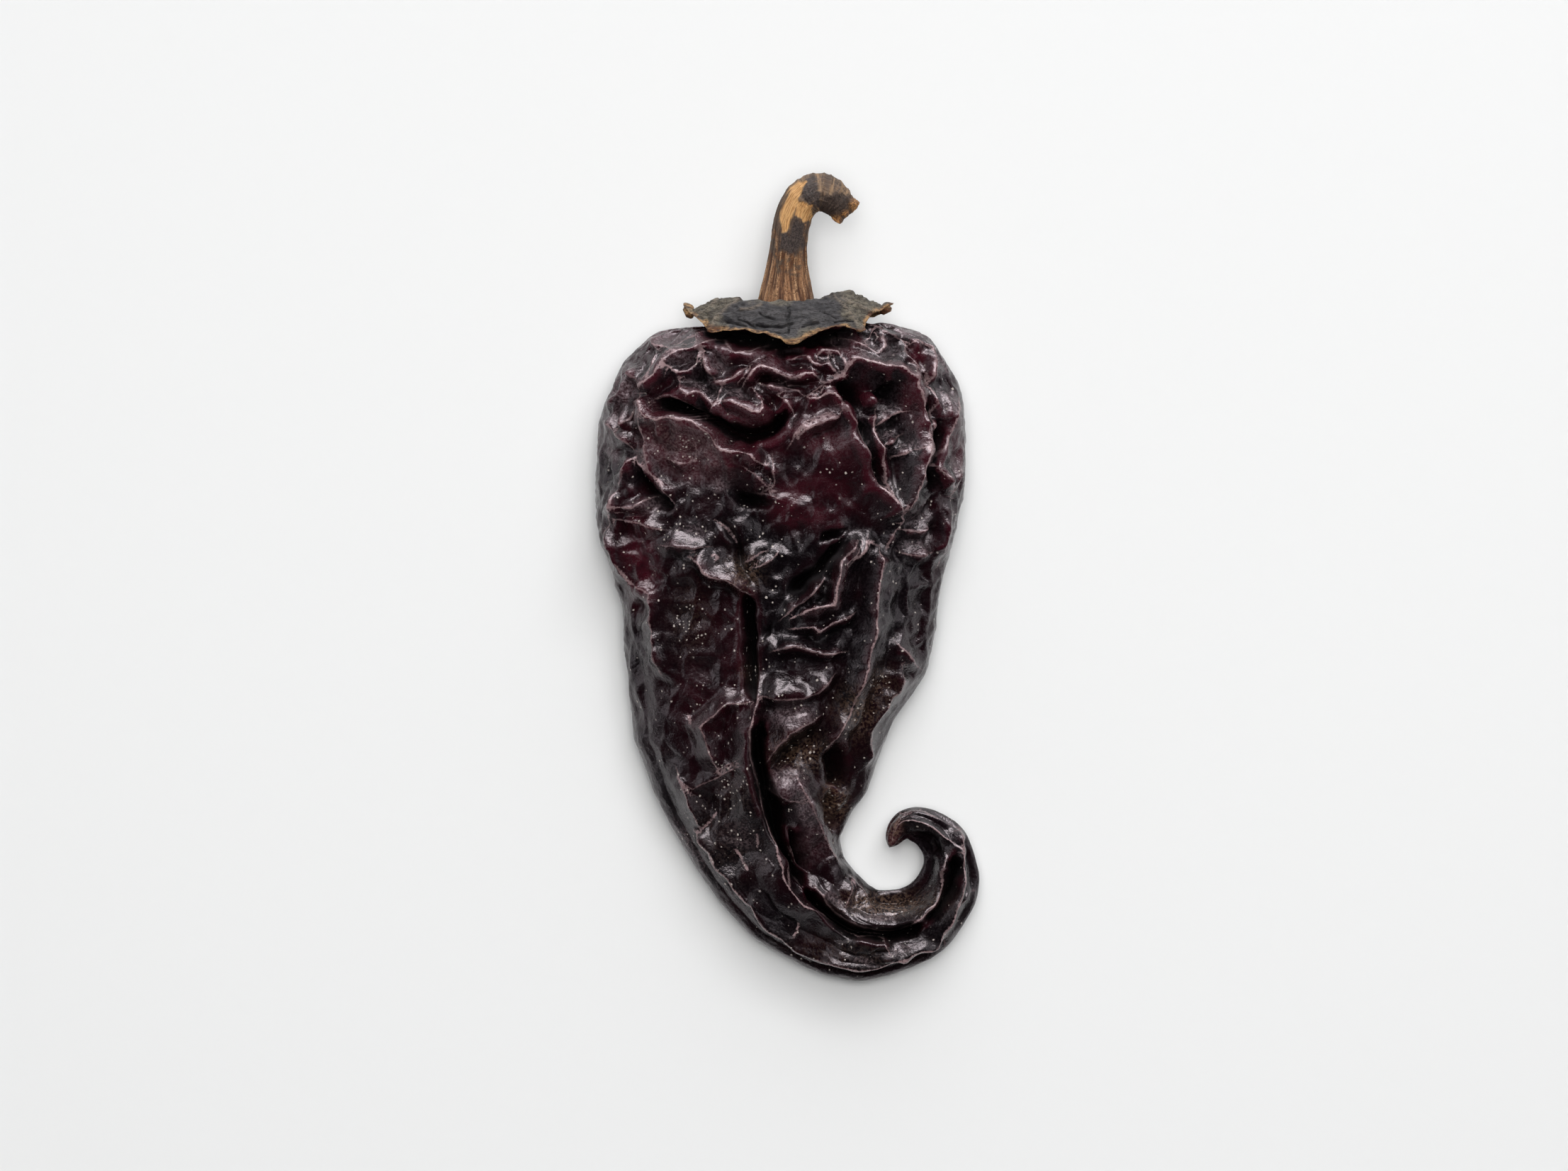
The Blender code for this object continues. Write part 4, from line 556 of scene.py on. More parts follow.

# pale scratches, and painted highlights on lit slivers: routes
podScratchesAndGlints = (
    (-16.2, -44.2, -14.9, -42.8, -13.9, -42.0, -13.2, -41.2),
    (-0.8, -47.2, -0.4, -49.0, 0.0, -51.5, 0.2, -54.0), (-9.6, -47.8, -8.4, -49.6, -7.4, -51.0),
    (0.7, -46.9, 1.5, -48.2, 2.3, -49.4), (1.4, -50.9, 2.2, -52.3, 2.3, -53.9),
    (1.5, -60.8, 1.2, -62.4, 0.6, -63.3), (-5.4, -45.0, -5.7, -47.0),
    (-12.9, 10.4, -11.8, 9.4, -10.6, 8.2, -9.4, 6.3), (-13.6, 4.0, -12.9, 4.5, -12.2, 3.6, -12.9, 3.1),
    (10.6, 3.3, 12.4, 4.0, 13.6, 5.4, 14.0, 6.6, 15.2, 6.4), (-18.6, -24.0, -17.4, -25.6),
)

# flat spots that the pod rests on: x, y, radius
podPads = ((-17.0, 22.0, 6.0), (16.0, 24.0, 6.0), (-5.0, -24.0, 6.0), (12.0, -63.0, 3.5))

# wrinkle cells: size across, along and through, height, seed
podCells = {"under": ((8.5, 11.0, 7.0), 1.5, 3), "side": ((9.0, 9.0, 7.0), 2.4, 23),
            "flank": ((8.2, 9.4, 7.0), 1.2, 61), "fine": ((4.5, 5.5, 4.0), 1.0, 11),
            "small": ((2.3, 2.8, 2.2), 0.28, 31)}


def podMarks():
    # share of the pod's length at each section: running mean length of the two rails
    steps = np.diff(podRails, axis=0)
    lengths = 0.5 * (np.hypot(steps[:, 0], steps[:, 1]) + np.hypot(steps[:, 2], steps[:, 3]))
    marks = np.concatenate(([0.0], np.cumsum(lengths)))
    return marks / marks[-1]


def podBase(along, around):
    # rails joined by x = left + (right - left) (1 + cos a) / 2, z = level + rise sin(a)^fullness
    top = podLook["topShare"]
    above = around < top
    share = np.where(above, around / top, (around - top) / (1.0 - top))
    share = share + podLook["evenness"] * np.sin(2.0 * np.pi * share) / (2.0 * np.pi)
    angle = np.pi * (share + np.where(above, 0.0, 1.0))
    marks = podMarks()
    ends = np.minimum(along, 1.0 - along) < tiny
    pole = np.where(along < 0.5, 0, len(podRails) - 1)
    leftX, leftY, rightX, rightY = (
        np.where(ends, rail[pole], eased(along, marks, rail, podLook["railRound"])) for rail in podRails.T)
    heightMarks = marks[podHeights[:, 0].astype(int)]
    under, level, crown = (
        eased(along, heightMarks, heights, podLook["heightRound"]) for heights in podHeights.T[1:])
    across = 0.5 * (1.0 + np.cos(angle))
    rise = np.abs(np.sin(angle))
    lifted = level + (crown - level) * rise ** podLook["topFullness"]
    sunk = level - (level - under) * rise ** podLook["underFullness"]
    height = np.where(ends, level, np.where(np.sin(angle) >= 0.0, lifted, sunk))
    spots = np.stack((leftX + (rightX - leftX) * across, leftY + (rightY - leftY) * across, height), axis=1)
    outward = np.stack((rightX - leftX, rightY - leftY), axis=1)
    outward /= np.maximum(np.linalg.norm(outward, axis=1), tiny)[:, None]
    return spots, outward * np.cos(angle)[:, None], angle


def podRun(plan, form):
    # strength of a form, in a straight run from the tail to the shoulder
    return np.interp(plan[:, 1], *podRuns[form])


def stepsToCrests(plan, amount):
    # step of each point towards its nearest crest: amount way exp(-(distance / reach)^2)
    best = np.full(len(plan), farAway)
    ways = np.zeros((len(plan), 2))
    for *_, route in podCrests:
        near, way, *_ = wayToRoute(plan, route)
        closer = near < best
        best = np.where(closer, near, best)
        ways = np.where(closer[:, None], way, ways)
    return (amount * np.exp(-(best / podLook["pullReach"]) ** 2))[:, None] * ways


def podCrestFields(plan, uneven):
    # highest crest, height (1 - distance / reach)^power, strongest pale line, exp(-(distance / reach)^2),
    # and the signed distance to the nearest crest
    calm = podRun(plan, "crests")
    crest = np.zeros(len(plan))
    paleLine = np.zeros(len(plan))
    offset = np.zeros(len(plan))
    nearest = np.full(len(plan), farAway)
    for height, left, right, pale, route in podCrests:
        near, _, side, place, length = wayToRoute(plan, route)
        reach = (right + (left - right) * (0.5 + 0.5 * side)) * podLook["crestSpread"]
        rounded = np.sqrt(near ** 2 + podLook["crestRound"] ** 2) - podLook["crestRound"]
        top = podLook["crestGain"] * height * uneven * endFade(place, length, *podLook["crestFade"]) * calm
        crest = np.maximum(crest, top * np.maximum(0.0, 1.0 - rounded / reach) ** podLook["crestPower"])
        paleLine = np.maximum(paleLine, pale * np.exp(-(near / podLook["paleReach"]) ** 2))
        offset = np.where(near < nearest, near * side, offset)
        nearest = np.minimum(nearest, near)
    return crest, paleLine, np.clip(offset, -podLook["offsetLimit"], podLook["offsetLimit"])


def podCreaseFields(plan, uneven):
    # deepest crease, depth exp(-(distance / reach)^steepness), and the darkness of its painted shade,
    # exp(-(distance / reach)^2)
    crease = np.zeros(len(plan))
    dark = np.zeros(len(plan))
    thin = podLook["creaseEnd"]
    for depth, reach, steepness, darkness, route in podCreases:
        near, _, _, place, length = wayToRoute(plan, route)
        fade = endFade(place, length, *podLook["creaseFade"])
        narrow = reach * (thin + (1.0 - thin) * fade) * (1.5 - 0.5 * uneven ** 2)
        wall = np.exp(-(near / narrow) ** steepness)
        crease = np.maximum(crease, podLook["creaseGain"] * depth * fade * wall)
        dark = np.maximum(dark, darkness * fade * np.exp(-(near / narrow) ** 2))
    return crease, dark


def podBulges(plan):
    # highest lobe, height (1 - ellipse share)^power, and all swells, height exp(-(distance / radius)^2)
    lobes = np.zeros(len(plan))
    for *ellipse, height in podLobes:
        inside = np.maximum(0.0, 1.0 - ellipseShare(plan, *ellipse))
        lobes = np.maximum(lobes, podLook["lobeGain"] * height * inside ** podLook["lobePower"])
    swell = np.zeros(len(plan))
    for x, y, radius, height in podSwells:
        swell += height * np.exp(-(np.hypot(plan[:, 0] - x, plan[:, 1] - y) / radius) ** 2)
    return lobes, swell


def podPadDrops(plan):
    # how far the underside swells down towards the flat spots: depth exp(-(distance / radius)^2)
    return sum(podLook["padDepth"] * np.exp(-(np.hypot(plan[:, 0] - x, plan[:, 1] - y) / radius) ** 2)
               for x, y, radius in podPads)


def makePod():
    # rails' skin, moved up by the folds' relief, in and out by the facets of its sides, along its
    # normals by the smallest wrinkles, and down onto the flat spots that it rests on
    rows, cols = podLook["rows"], podLook["cols"]
    along, around = gridPlaces(rows, cols)
    spots, outward, angle = podBase(along, around)
    facing = np.sin(angle)
    upper = np.clip(facing * podLook["upperRise"], 0.0, 1.0)
    lower = np.clip(-facing * podLook["lowerRise"], 0.0, 1.0)
    ends = np.clip(np.minimum(along, 1.0 - along) * podLook["endRise"], 0.0, 1.0)

    wobble = podLook["wobble"] * np.stack([layeredNoise(spots, podLook["wobbleCell"], seed, 2)
                                           for seed in podLook["wobbleSeeds"]], axis=1)
    spots[:, :2] += stepsToCrests(spots[:, :2] + wobble, podLook["pull"] * upper * ends)
    plan = spots[:, :2] + wobble
    uneven = 1.0 + podLook["uneven"] * softNoise(spots, podLook["unevenCell"], podLook["unevenSeed"])
    crest, paleLine, offset = podCrestFields(plan, uneven)
    crease, dark = podCreaseFields(plan, uneven)
    lobes, swell = podBulges(plan)
    cells = {form: height * (cellFacets(spots, cell, seed) - 0.5)
             for form, (cell, height, seed) in podCells.items()}
    grain = podLook["grain"] * layeredNoise(spots, podLook["grainCell"], podLook["grainSeed"], 2)
    small = (cells["small"] + grain) * podRun(plan, "wrinkles")

    # facets are weak on the tail, and strong on the flanks of the shoulder
    calm = podRun(plan, "facets")
    atShoulder = podRun(plan, "flankFacets")
    onFlank = atShoulder + (1.0 - atShoulder) * ramp(facing, 0.45, 0.45)
    relief = ends * upper * (crest - crease + lobes + swell - podLook["lowering"]
                             + calm * onFlank * cells["fine"])
    relief += podLook["sharpen"] * (relief - blurred(relief, rows, cols, podLook["sharpenSteps"]))
    over = np.maximum(0.0, relief - podLook["tallest"])
    relief -= over - np.tanh(over / podLook["tallSoft"]) * podLook["tallSoft"]
    spots[:, 2] += relief
    spots[:, :2] += podLook["sideShare"] * relief[:, None] * outward

    spots[:, 2] -= ends * lower * (cells["under"] + cells["fine"])
    sideRelief = calm * (cells["side"] + podRun(plan, "flankCells") * cells["flank"]
                         - 0.3 * podCells["side"][1])
    offRail = podLook["railShare"] + (1.0 - podLook["railShare"]) * np.clip(
        np.abs(facing) * podLook["railRise"], 0.0, 1.0)
    spots[:, :2] += (ends * offRail * (1.0 - 0.7 * upper) * sideRelief)[:, None] * outward
    spots += gridNormals(spots, rows, cols) * (ends * small)[:, None]
    spots[:, 2] = np.maximum(spots[:, 2] - lower * podPadDrops(plan), 0.0)

    total = relief + ends * (lower * cells["under"] + (1.0 - upper) * (1.0 - lower) * sideRelief
                             + (1.0 - upper) * cells["fine"] + small)
    scratchAndGlint = np.min([wayToRoute(plan, route)[0] for route in podScratchesAndGlints], axis=0)
    scratchAndGlint = np.minimum(scratchAndGlint, podLook["scratchAndGlintReach"])
    dust, specks = patchFields(plan, podDust, 1)
    # bloom holds frosty bloom and painted highlights on facets turned to the light
    blush, bloom = patchFields(plan, podTonesAndHighlights, 2)
    shade, = patchFields(plan, podPaintedShade, 2)
    fields = {"shade": shade * upper, "ridge": paleLine * upper, "offset": offset,
              "cavity": total - blurred(total, rows, cols, podLook["cavitySteps"]),
              "dark": dark * upper, "dust": dust * upper, "specks": specks * upper,
              "blush": blush, "bloom": bloom,
              "scratchAndGlint": np.where(upper > 0.5, scratchAndGlint, podLook["scratchAndGlintReach"])}
    return gridPiece("podSkin", spots, rows, cols, fields)


pod = makePod()
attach(pod, "root")
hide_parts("pod")


# calyx

calyxLook = {
    "rows": 150, "cols": 360, "hub": (-0.3, 48.3, 13.0), "crestShare": 0.62, "spokeRound": 0.008,
    "thickness": 0.9, "rimShare": 0.10, "seatDepth": 1.5, "seatEdge": 0.95, "seatWidth": 0.35,
    "bulge": 0.5, "bulgeLift": 0.6, "bulgeStart": 0.45,
    "wavy": 0.45, "ragged": 0.0484, "curl": 0.5, "paleReach": 0.25,
    "wrinkle": 0.36, "wrinkleCell": (3.4, 0.8, 1.4), "wrinkleSharp": 3.5,
    "grain": 0.10, "grainCell": (1.4, 0.6, 0.8), "backRibs": 9, "backRibHeight": 0.4,
    "nubShare": 0.14, "nubDegrees": 5.0,
}
calyxSeeds = {"wavy": 15, "ragged": 5, "curl": 9, "wrinkle": 41, "grain": 47}

# turn in degrees from +X towards +Z, then crest x, y, z and rim x, y, z of each spoke
calyxSpokes = np.array((
    (0, 14.6, 47.6, 13.0, 17.4, 46.9, 12.6), (18, 12.8, 48.9, 16.0, 14.4, 46.2, 17.4),
    (36, 11.0, 49.5, 18.2, 12.4, 42.8, 20.6), (52, 8.0, 48.9, 19.6, 9.0, 43.6, 22.2),
    (72, 4.6, 48.3, 20.2, 4.8, 42.6, 23.4), (86, 0.6, 48.1, 20.4, 1.2, 40.7, 23.9),
    (100, -3.2, 48.0, 20.4, -3.6, 42.1, 23.4), (122, -8.0, 48.2, 19.6, -9.0, 43.2, 22.0),
    (142, -11.2, 48.6, 18.0, -13.4, 43.0, 19.8), (160, -13.4, 48.2, 16.0, -16.2, 45.6, 16.0),
    (180, -15.2, 47.2, 13.0, -17.9, 46.9, 12.4), (205, -12.6, 47.6, 9.0, -15.0, 46.2, 7.4),
    (235, -8.0, 47.8, 6.2, -9.0, 45.9, 4.0), (270, 0.0, 47.9, 5.4, 0.4, 45.9, 2.8),
    (305, 8.0, 47.9, 6.4, 9.2, 45.8, 4.2), (335, 12.6, 47.8, 9.2, 15.4, 46.2, 7.8)))

# raised ribs of the calyx seen from above: height, reach, route
calyxRibs = (
    (0.9, 0.9, (8.0, 48.8, 9.6, 47.2, 11.2, 45.0, 12.4, 42.8)),
    (0.5, 0.6, (9.2, 48.8, 11.5, 47.9, 14.0, 46.6, 16.5, 46.6)),
    (0.8, 0.9, (-9.0, 48.2, -10.8, 47.0, -12.4, 45.2, -13.4, 43.0)),
    (0.4, 0.6, (-12.6, 48.4, -13.8, 47.2, -15.4, 46.3)),
    (0.5, 0.6, (-8.2, 46.8, -6.4, 46.9, -4.8, 47.6)),
)

# cracks of the calyx: depth, reach, route
calyxCracks = (
    (0.50, 0.24, (-5.6, 44.1, -4.2, 43.8, -2.8, 43.9, -1.2, 43.8, 0.6, 44.4)),
    (0.45, 0.22, (-0.1, 47.2, 0.2, 46.2, -0.2, 45.2, 0.1, 44.2, 0.0, 42.8)),
    (0.40, 0.20, (-5.0, 46.2, -4.2, 45.6, -3.4, 45.5, -2.4, 45.0)),
    (0.35, 0.20, (2.4, 43.8, 4.0, 44.3, 5.2, 44.5)),
    (0.40, 0.20, (-8.8, 45.1, -7.2, 44.6, -5.8, 43.6)),
    (0.3, 0.16, (5.4, 46.6, 7.0, 46.0, 8.4, 45.2)),
    (0.40, 0.20, (-10.8, 44.7, -9.2, 44.3, -7.4, 43.9)),
    (0.3, 0.16, (-3.2, 42.9, -1.4, 42.7, 0.0, 42.8)),
    (0.3, 0.16, (1.0, 45.4, 2.4, 45.6, 3.6, 45.3)),
    (0.35, 0.18, (8.0, 44.6, 9.8, 44.9, 11.0, 44.6)),
)

# outline of the calyx's dark middle seen from above
calyxMiddle = (-9.2, 48.4, -11.4, 46.4, -12.8, 44.4, -8.0, 42.8, -3.0, 41.8, 1.2, 40.8, 5.0, 42.6,
               9.0, 43.6, 11.6, 44.4, 10.4, 46.4, 8.2, 49.2)

# thick curled nubs at the calyx's points: turn in degrees, radius, lift along y
calyxNubs = ((0, 1.7, 0.7), (180, 1.8, 0.4), (142, 0.55, -0.2), (36, 0.35, -0.2), (86, 0.3, -0.2))


def calyxSpokeLines(turn):
    # crest and rim at each turn, in straight runs between the spokes with slightly rounded corners
    wrap = np.concatenate((calyxSpokes[-2:], calyxSpokes, calyxSpokes[:2]))
    knots = wrap[:, 0].copy()
    knots[:2] -= 360.0
    knots[-2:] += 360.0
    lines = [eased(turn, knots / 360.0, column, calyxLook["spokeRound"]) for column in wrap.T[1:]]
    return np.stack(lines[:3], axis=1), np.stack(lines[3:], axis=1)


def withNubs(spots, share, turn):
    # near a nub's turn the last of the rim swells away from its own middle, by
    # radius exp(-(turn apart / width)^2) sin(angle over the nub)
    for degrees, radius, lift in calyxNubs:
        apart = np.abs((turn - degrees / 360.0 + 0.5) % 1.0 - 0.5) * 360.0
        weight = np.exp(-(apart / calyxLook["nubDegrees"]) ** 2)
        weight *= ramp(share, 1.0 - calyxLook["nubShare"], calyxLook["nubShare"])
        angle = np.pi * ramp(1.0 - share, 0.0, calyxLook["nubShare"])
        centre = (spots * weight[:, None]).sum(axis=0) / max(weight.sum(), tiny)
        away = spots - centre
        away /= np.maximum(np.linalg.norm(away, axis=1), tiny)[:, None]
        spots = spots + away * (weight * radius * np.sin(0.5 * np.pi * np.clip(angle, 0, 1)))[:, None]
        spots[:, 1] += weight * lift
    return spots


def makeCalyx():
    # skin from the hub over the crest to the rim, then back inside to the hub, moved along its
    # normals by ribs, wrinkles and cracks outside and by the cap's thickness inside
    rows, cols = calyxLook["rows"], calyxLook["cols"]
    along, turn = gridPlaces(rows, cols)
    angle = turn * 2 * np.pi
    circle = np.stack((np.cos(angle), np.sin(angle), np.zeros(len(turn))), axis=1)
    even = (1.0, 1.0, 1.0)
    crest, rim = calyxSpokeLines(turn)
    crest[:, 1] += calyxLook["wavy"] * layeredNoise(circle * 5.0, even, calyxSeeds["wavy"], 2)
    ragged = calyxLook["ragged"] * layeredNoise(circle * 9.0, even, calyxSeeds["ragged"], 4)

    outer = along <= 0.5
    share = np.where(outer, along * 2.0, (1.0 - along) * 2.0)
    hub = np.array(calyxLook["hub"])
    middle = calyxLook["crestShare"]
    first = np.clip(share / middle, 0.0, 1.0)[:, None]
    second = ramp(share, middle, 1.0 - middle)[:, None]
    spots = hub + (crest - hub) * first + (rim - crest) * second
    spots += (rim - crest) * second ** 3 * ragged[:, None]
    bulgeStart = calyxLook["bulgeStart"]
    bulge = calyxLook["bulge"] * np.sin(np.pi * ramp(share, bulgeStart, 1.0 - bulgeStart))
    spots[:, 1] += bulge * calyxLook["bulgeLift"]
    spots[:, 2] += bulge * np.sin(angle)
    seat = ramp(calyxLook["seatEdge"] - first[:, 0], 0.0, calyxLook["seatWidth"])
    spots[:, 1] -= calyxLook["seatDepth"] * seat * seat * (3.0 - 2.0 * seat)

    upper = np.clip(np.sin(angle) * 2.5 + 0.4, 0.0, 1.0)
    plan = spots[:, :2].copy()
    crack = routeRelief(plan, calyxCracks, 2) * upper
    pale = routeRelief(plan, [(1.0, calyxLook["paleReach"], route) for *_, route in calyxRibs], 2)
    backRibs = np.maximum(0.0, np.cos(angle * calyxLook["backRibs"])) ** 6 * (1.0 - upper)
    relief = routeRelief(plan, calyxRibs, 1) * upper + calyxLook["backRibHeight"] * backRibs - crack
    relief += calyxLook["wrinkle"] * cellCrests(
        spots, calyxLook["wrinkleCell"], calyxSeeds["wrinkle"], calyxLook["wrinkleSharp"])
    relief += calyxLook["grain"] * layeredNoise(spots, calyxLook["grainCell"], calyxSeeds["grain"], 3)
    relief *= np.clip(share * 3.0 - 0.6, 0.0, 1.0)

    skin = gridNormals(spots, rows, cols) * np.where(outer, 1.0, -1.0)[:, None]
    if np.mean(skin[outer][:, 1]) < 0:
        skin = -skin
    edge = ramp(share, 1.0 - calyxLook["rimShare"], calyxLook["rimShare"])
    thick = calyxLook["thickness"] * (0.6 + 0.4 * edge) * np.clip((1.0 - share) * 18.0, 0.0, 1.0)
    spots += skin * (relief - np.where(outer, 0.0, thick))[:, None]
    curl = 0.6 + 0.8 * layeredNoise(circle * 5.0, even, calyxSeeds["curl"], 2)
    spots += skin * (edge ** 2 * calyxLook["curl"] * curl)[:, None]
    spots = withNubs(spots, share, turn)

    length = np.linalg.norm(rim - crest, axis=1)
    fields = {"pale": np.where(outer, pale * upper, 0.0), "crack": crack * 3.0,
              "centre": -outlineDistance(plan, calyxMiddle) * upper,
              "rimAway": np.where(outer, (1.0 - share) / (1.0 - middle) * length, 0.0)}
    return gridPiece("calyxSkin", spots, rows, cols, fields)


# stem

stemLook = {
    "rows": 300, "cols": 168, "foot": 0.04, "end": 0.93, "lineRound": 0.035, "radiusRound": 0.03,
    "ringRadius": 3.2, "mainRibs": 15, "ribHeight": 0.30, "fineRibs": 37, "fineHeight": 0.10,
    "drift": 0.9, "twist": 2.0, "grain": 0.07, "bendWrinkle": 0.32, "peelDepth": 0.16,
    "lip": 0.3, "torn": 0.7, "arcs": 0.14, "dome": 2.2, "taper": 0.22,
    "ribRun": ((0.0, 0.5, 0.75, 1.0), (1.3, 1.0, 0.6, 0.5)),  # share of the length, rib strength there
    # where each of these begins along the stem, and over what share of its length it grows
    "bend": (0.62, 0.15), "bulbShadeRun": (0.78, 0.06), "taperRun": (0.82, 0.18), "endRun": (0.93, 0.07),
}

# edges of the patches: how rough, and over how many millimetres they fade
stemEdges = {"peel": (0.6, 0.3), "char": (1.0, 0.8), "bulbShade": (0.8, 0.7)}

# noise on the unrolled bark: size round and along the stem, seed
stemCells = {"drift": ((3.0, 3.0, 9.0), 3), "ribSize": ((2.4, 2.4, 30.0), 7), "grain": ((0.7, 0.7, 3.0), 17),
             "folds": ((8.0, 8.0, 0.9), 29), "rough": ((0.5, 0.5, 2.0), 57),
             "backPeel": ((3.0, 3.0, 7.0), 83), "torn": ((1.5, 1.5, 1.0), 91)}

# centre line x, y, z and radius
stemLine = np.array((
    (-0.45, 48.1, 13.4, 5.0), (-0.4, 50.2, 13.9, 4.6), (-0.35, 52.5, 14.6, 4.05), (-0.2, 55.5, 15.6, 3.4),
    (0.05, 58.5, 16.8, 3.1), (0.4, 61.5, 17.6, 3.1), (1.1, 64.2, 18.3, 3.15), (2.6, 66.6, 18.9, 3.25),
    (5.0, 67.85, 19.2, 3.25), (7.0, 67.3, 18.9, 3.2), (8.3, 66.2, 18.2, 3.15), (9.0, 65.0, 17.0, 3.1)))

# outlines seen from above of the peeled and of the charred and weathered patches
stemPeels = ((-1.3, 60.4, -0.3, 60.8, 0.8, 63.2, 1.7, 66.4, 3.0, 69.2, 1.8, 69.4, 0.4, 68.4,
              -0.6, 66.2, -1.5, 64.0),
             (1.1, 63.4, 2.9, 62.2, 4.1, 62.6, 4.0, 65.1, 2.6, 65.6, 1.4, 66.0))
stemChars = ((1.9, 66.4, 3.2, 65.6, 4.6, 65.2, 5.4, 64.6, 6.0, 66.6, 5.0, 68.4, 4.4, 70.6, 2.9, 69.9),
             (-1.6, 60.6, -0.2, 60.2, 1.0, 63.2, 2.8, 62.0, 2.6, 58.0, 0.4, 56.4, -1.8, 57.6))

# outline of the painted shadow under the curl of the bulb at the stem's end, and torn nubs on its lip: x, y,
# radius, height
stemBulbShade = (5.0, 65.0, 6.3, 63.2, 8.5, 61.8, 11.0, 63.4, 12.2, 66.0, 10.8, 67.2, 8.2, 67.4, 5.6, 66.9)
stemNubs = ((8.3, 62.3, 0.9, 1.3), (10.4, 63.2, 0.8, 1.1), (11.8, 65.6, 0.9, 1.3))


def stemFrame(share):
    # centre line at each share of its length, the way forward, the level way across, the way square
    # to both, the radius, and the line's length
    steps = np.linalg.norm(np.diff(stemLine[:, :3], axis=0), axis=1)
    length = steps.sum()
    marks = np.concatenate(([0.0], np.cumsum(steps))) / length

    def lineAt(place):
        # straight runs of x, y and z between the points, with rounded corners
        return np.stack([eased(place, marks, line, stemLook["lineRound"]) for line in stemLine.T[:3]], axis=1)

    forward = lineAt(np.clip(share + 0.02, 0, 1)) - lineAt(np.clip(share - 0.02, 0, 1))
    forward /= np.linalg.norm(forward, axis=1)[:, None]
    side = np.cross(forward, np.array((0.0, 0.0, 1.0)))
    side /= np.linalg.norm(side, axis=1)[:, None]
    radius = eased(share, marks, stemLine[:, 3], stemLook["radiusRound"])
    return lineAt(share), forward, side, np.cross(side, forward), radius, length


def stemPatches(plan, outlines, rough, edge):
    # 1 inside the outlines and 0 outside, 0.5 - (distance + roughness) / softness between
    roughness, softness = stemEdges[edge]
    patch = np.zeros(len(plan))
    for outline in outlines:
        inside = 0.5 - (outlineDistance(plan, outline) + rough * roughness) / softness
        patch = np.maximum(patch, np.clip(inside, 0.0, 1.0))
    return patch


def stemRibs(circle, turn, share):
    # cusped ribs, 1 - |sin(half their number times the turn)|, on a drifting course, with small grain,
    # and crosswise folds in the bend
    drift = stemLook["drift"] * softNoise(circle, *stemCells["drift"])
    ribs = 1.0 - np.abs(np.sin(0.5 * stemLook["mainRibs"] * turn + stemLook["twist"] * share + drift))
    fineRibs = 1.0 - np.abs(np.sin(0.5 * stemLook["fineRibs"] * turn + 4.0 * drift))
    ribSize = 0.65 + 0.55 * softNoise(circle, *stemCells["ribSize"])
    relief = stemLook["ribHeight"] * ribSize * (ribs - 0.4) + stemLook["fineHeight"] * (fineRibs - 0.4)
    relief *= np.interp(share, *stemLook["ribRun"])
    relief += stemLook["grain"] * layeredNoise(circle, *stemCells["grain"], 3)
    folds = cellCrests(circle, *stemCells["folds"], 3.0)
    return relief + ramp(share, *stemLook["bend"]) * stemLook["bendWrinkle"] * (folds - 0.4)


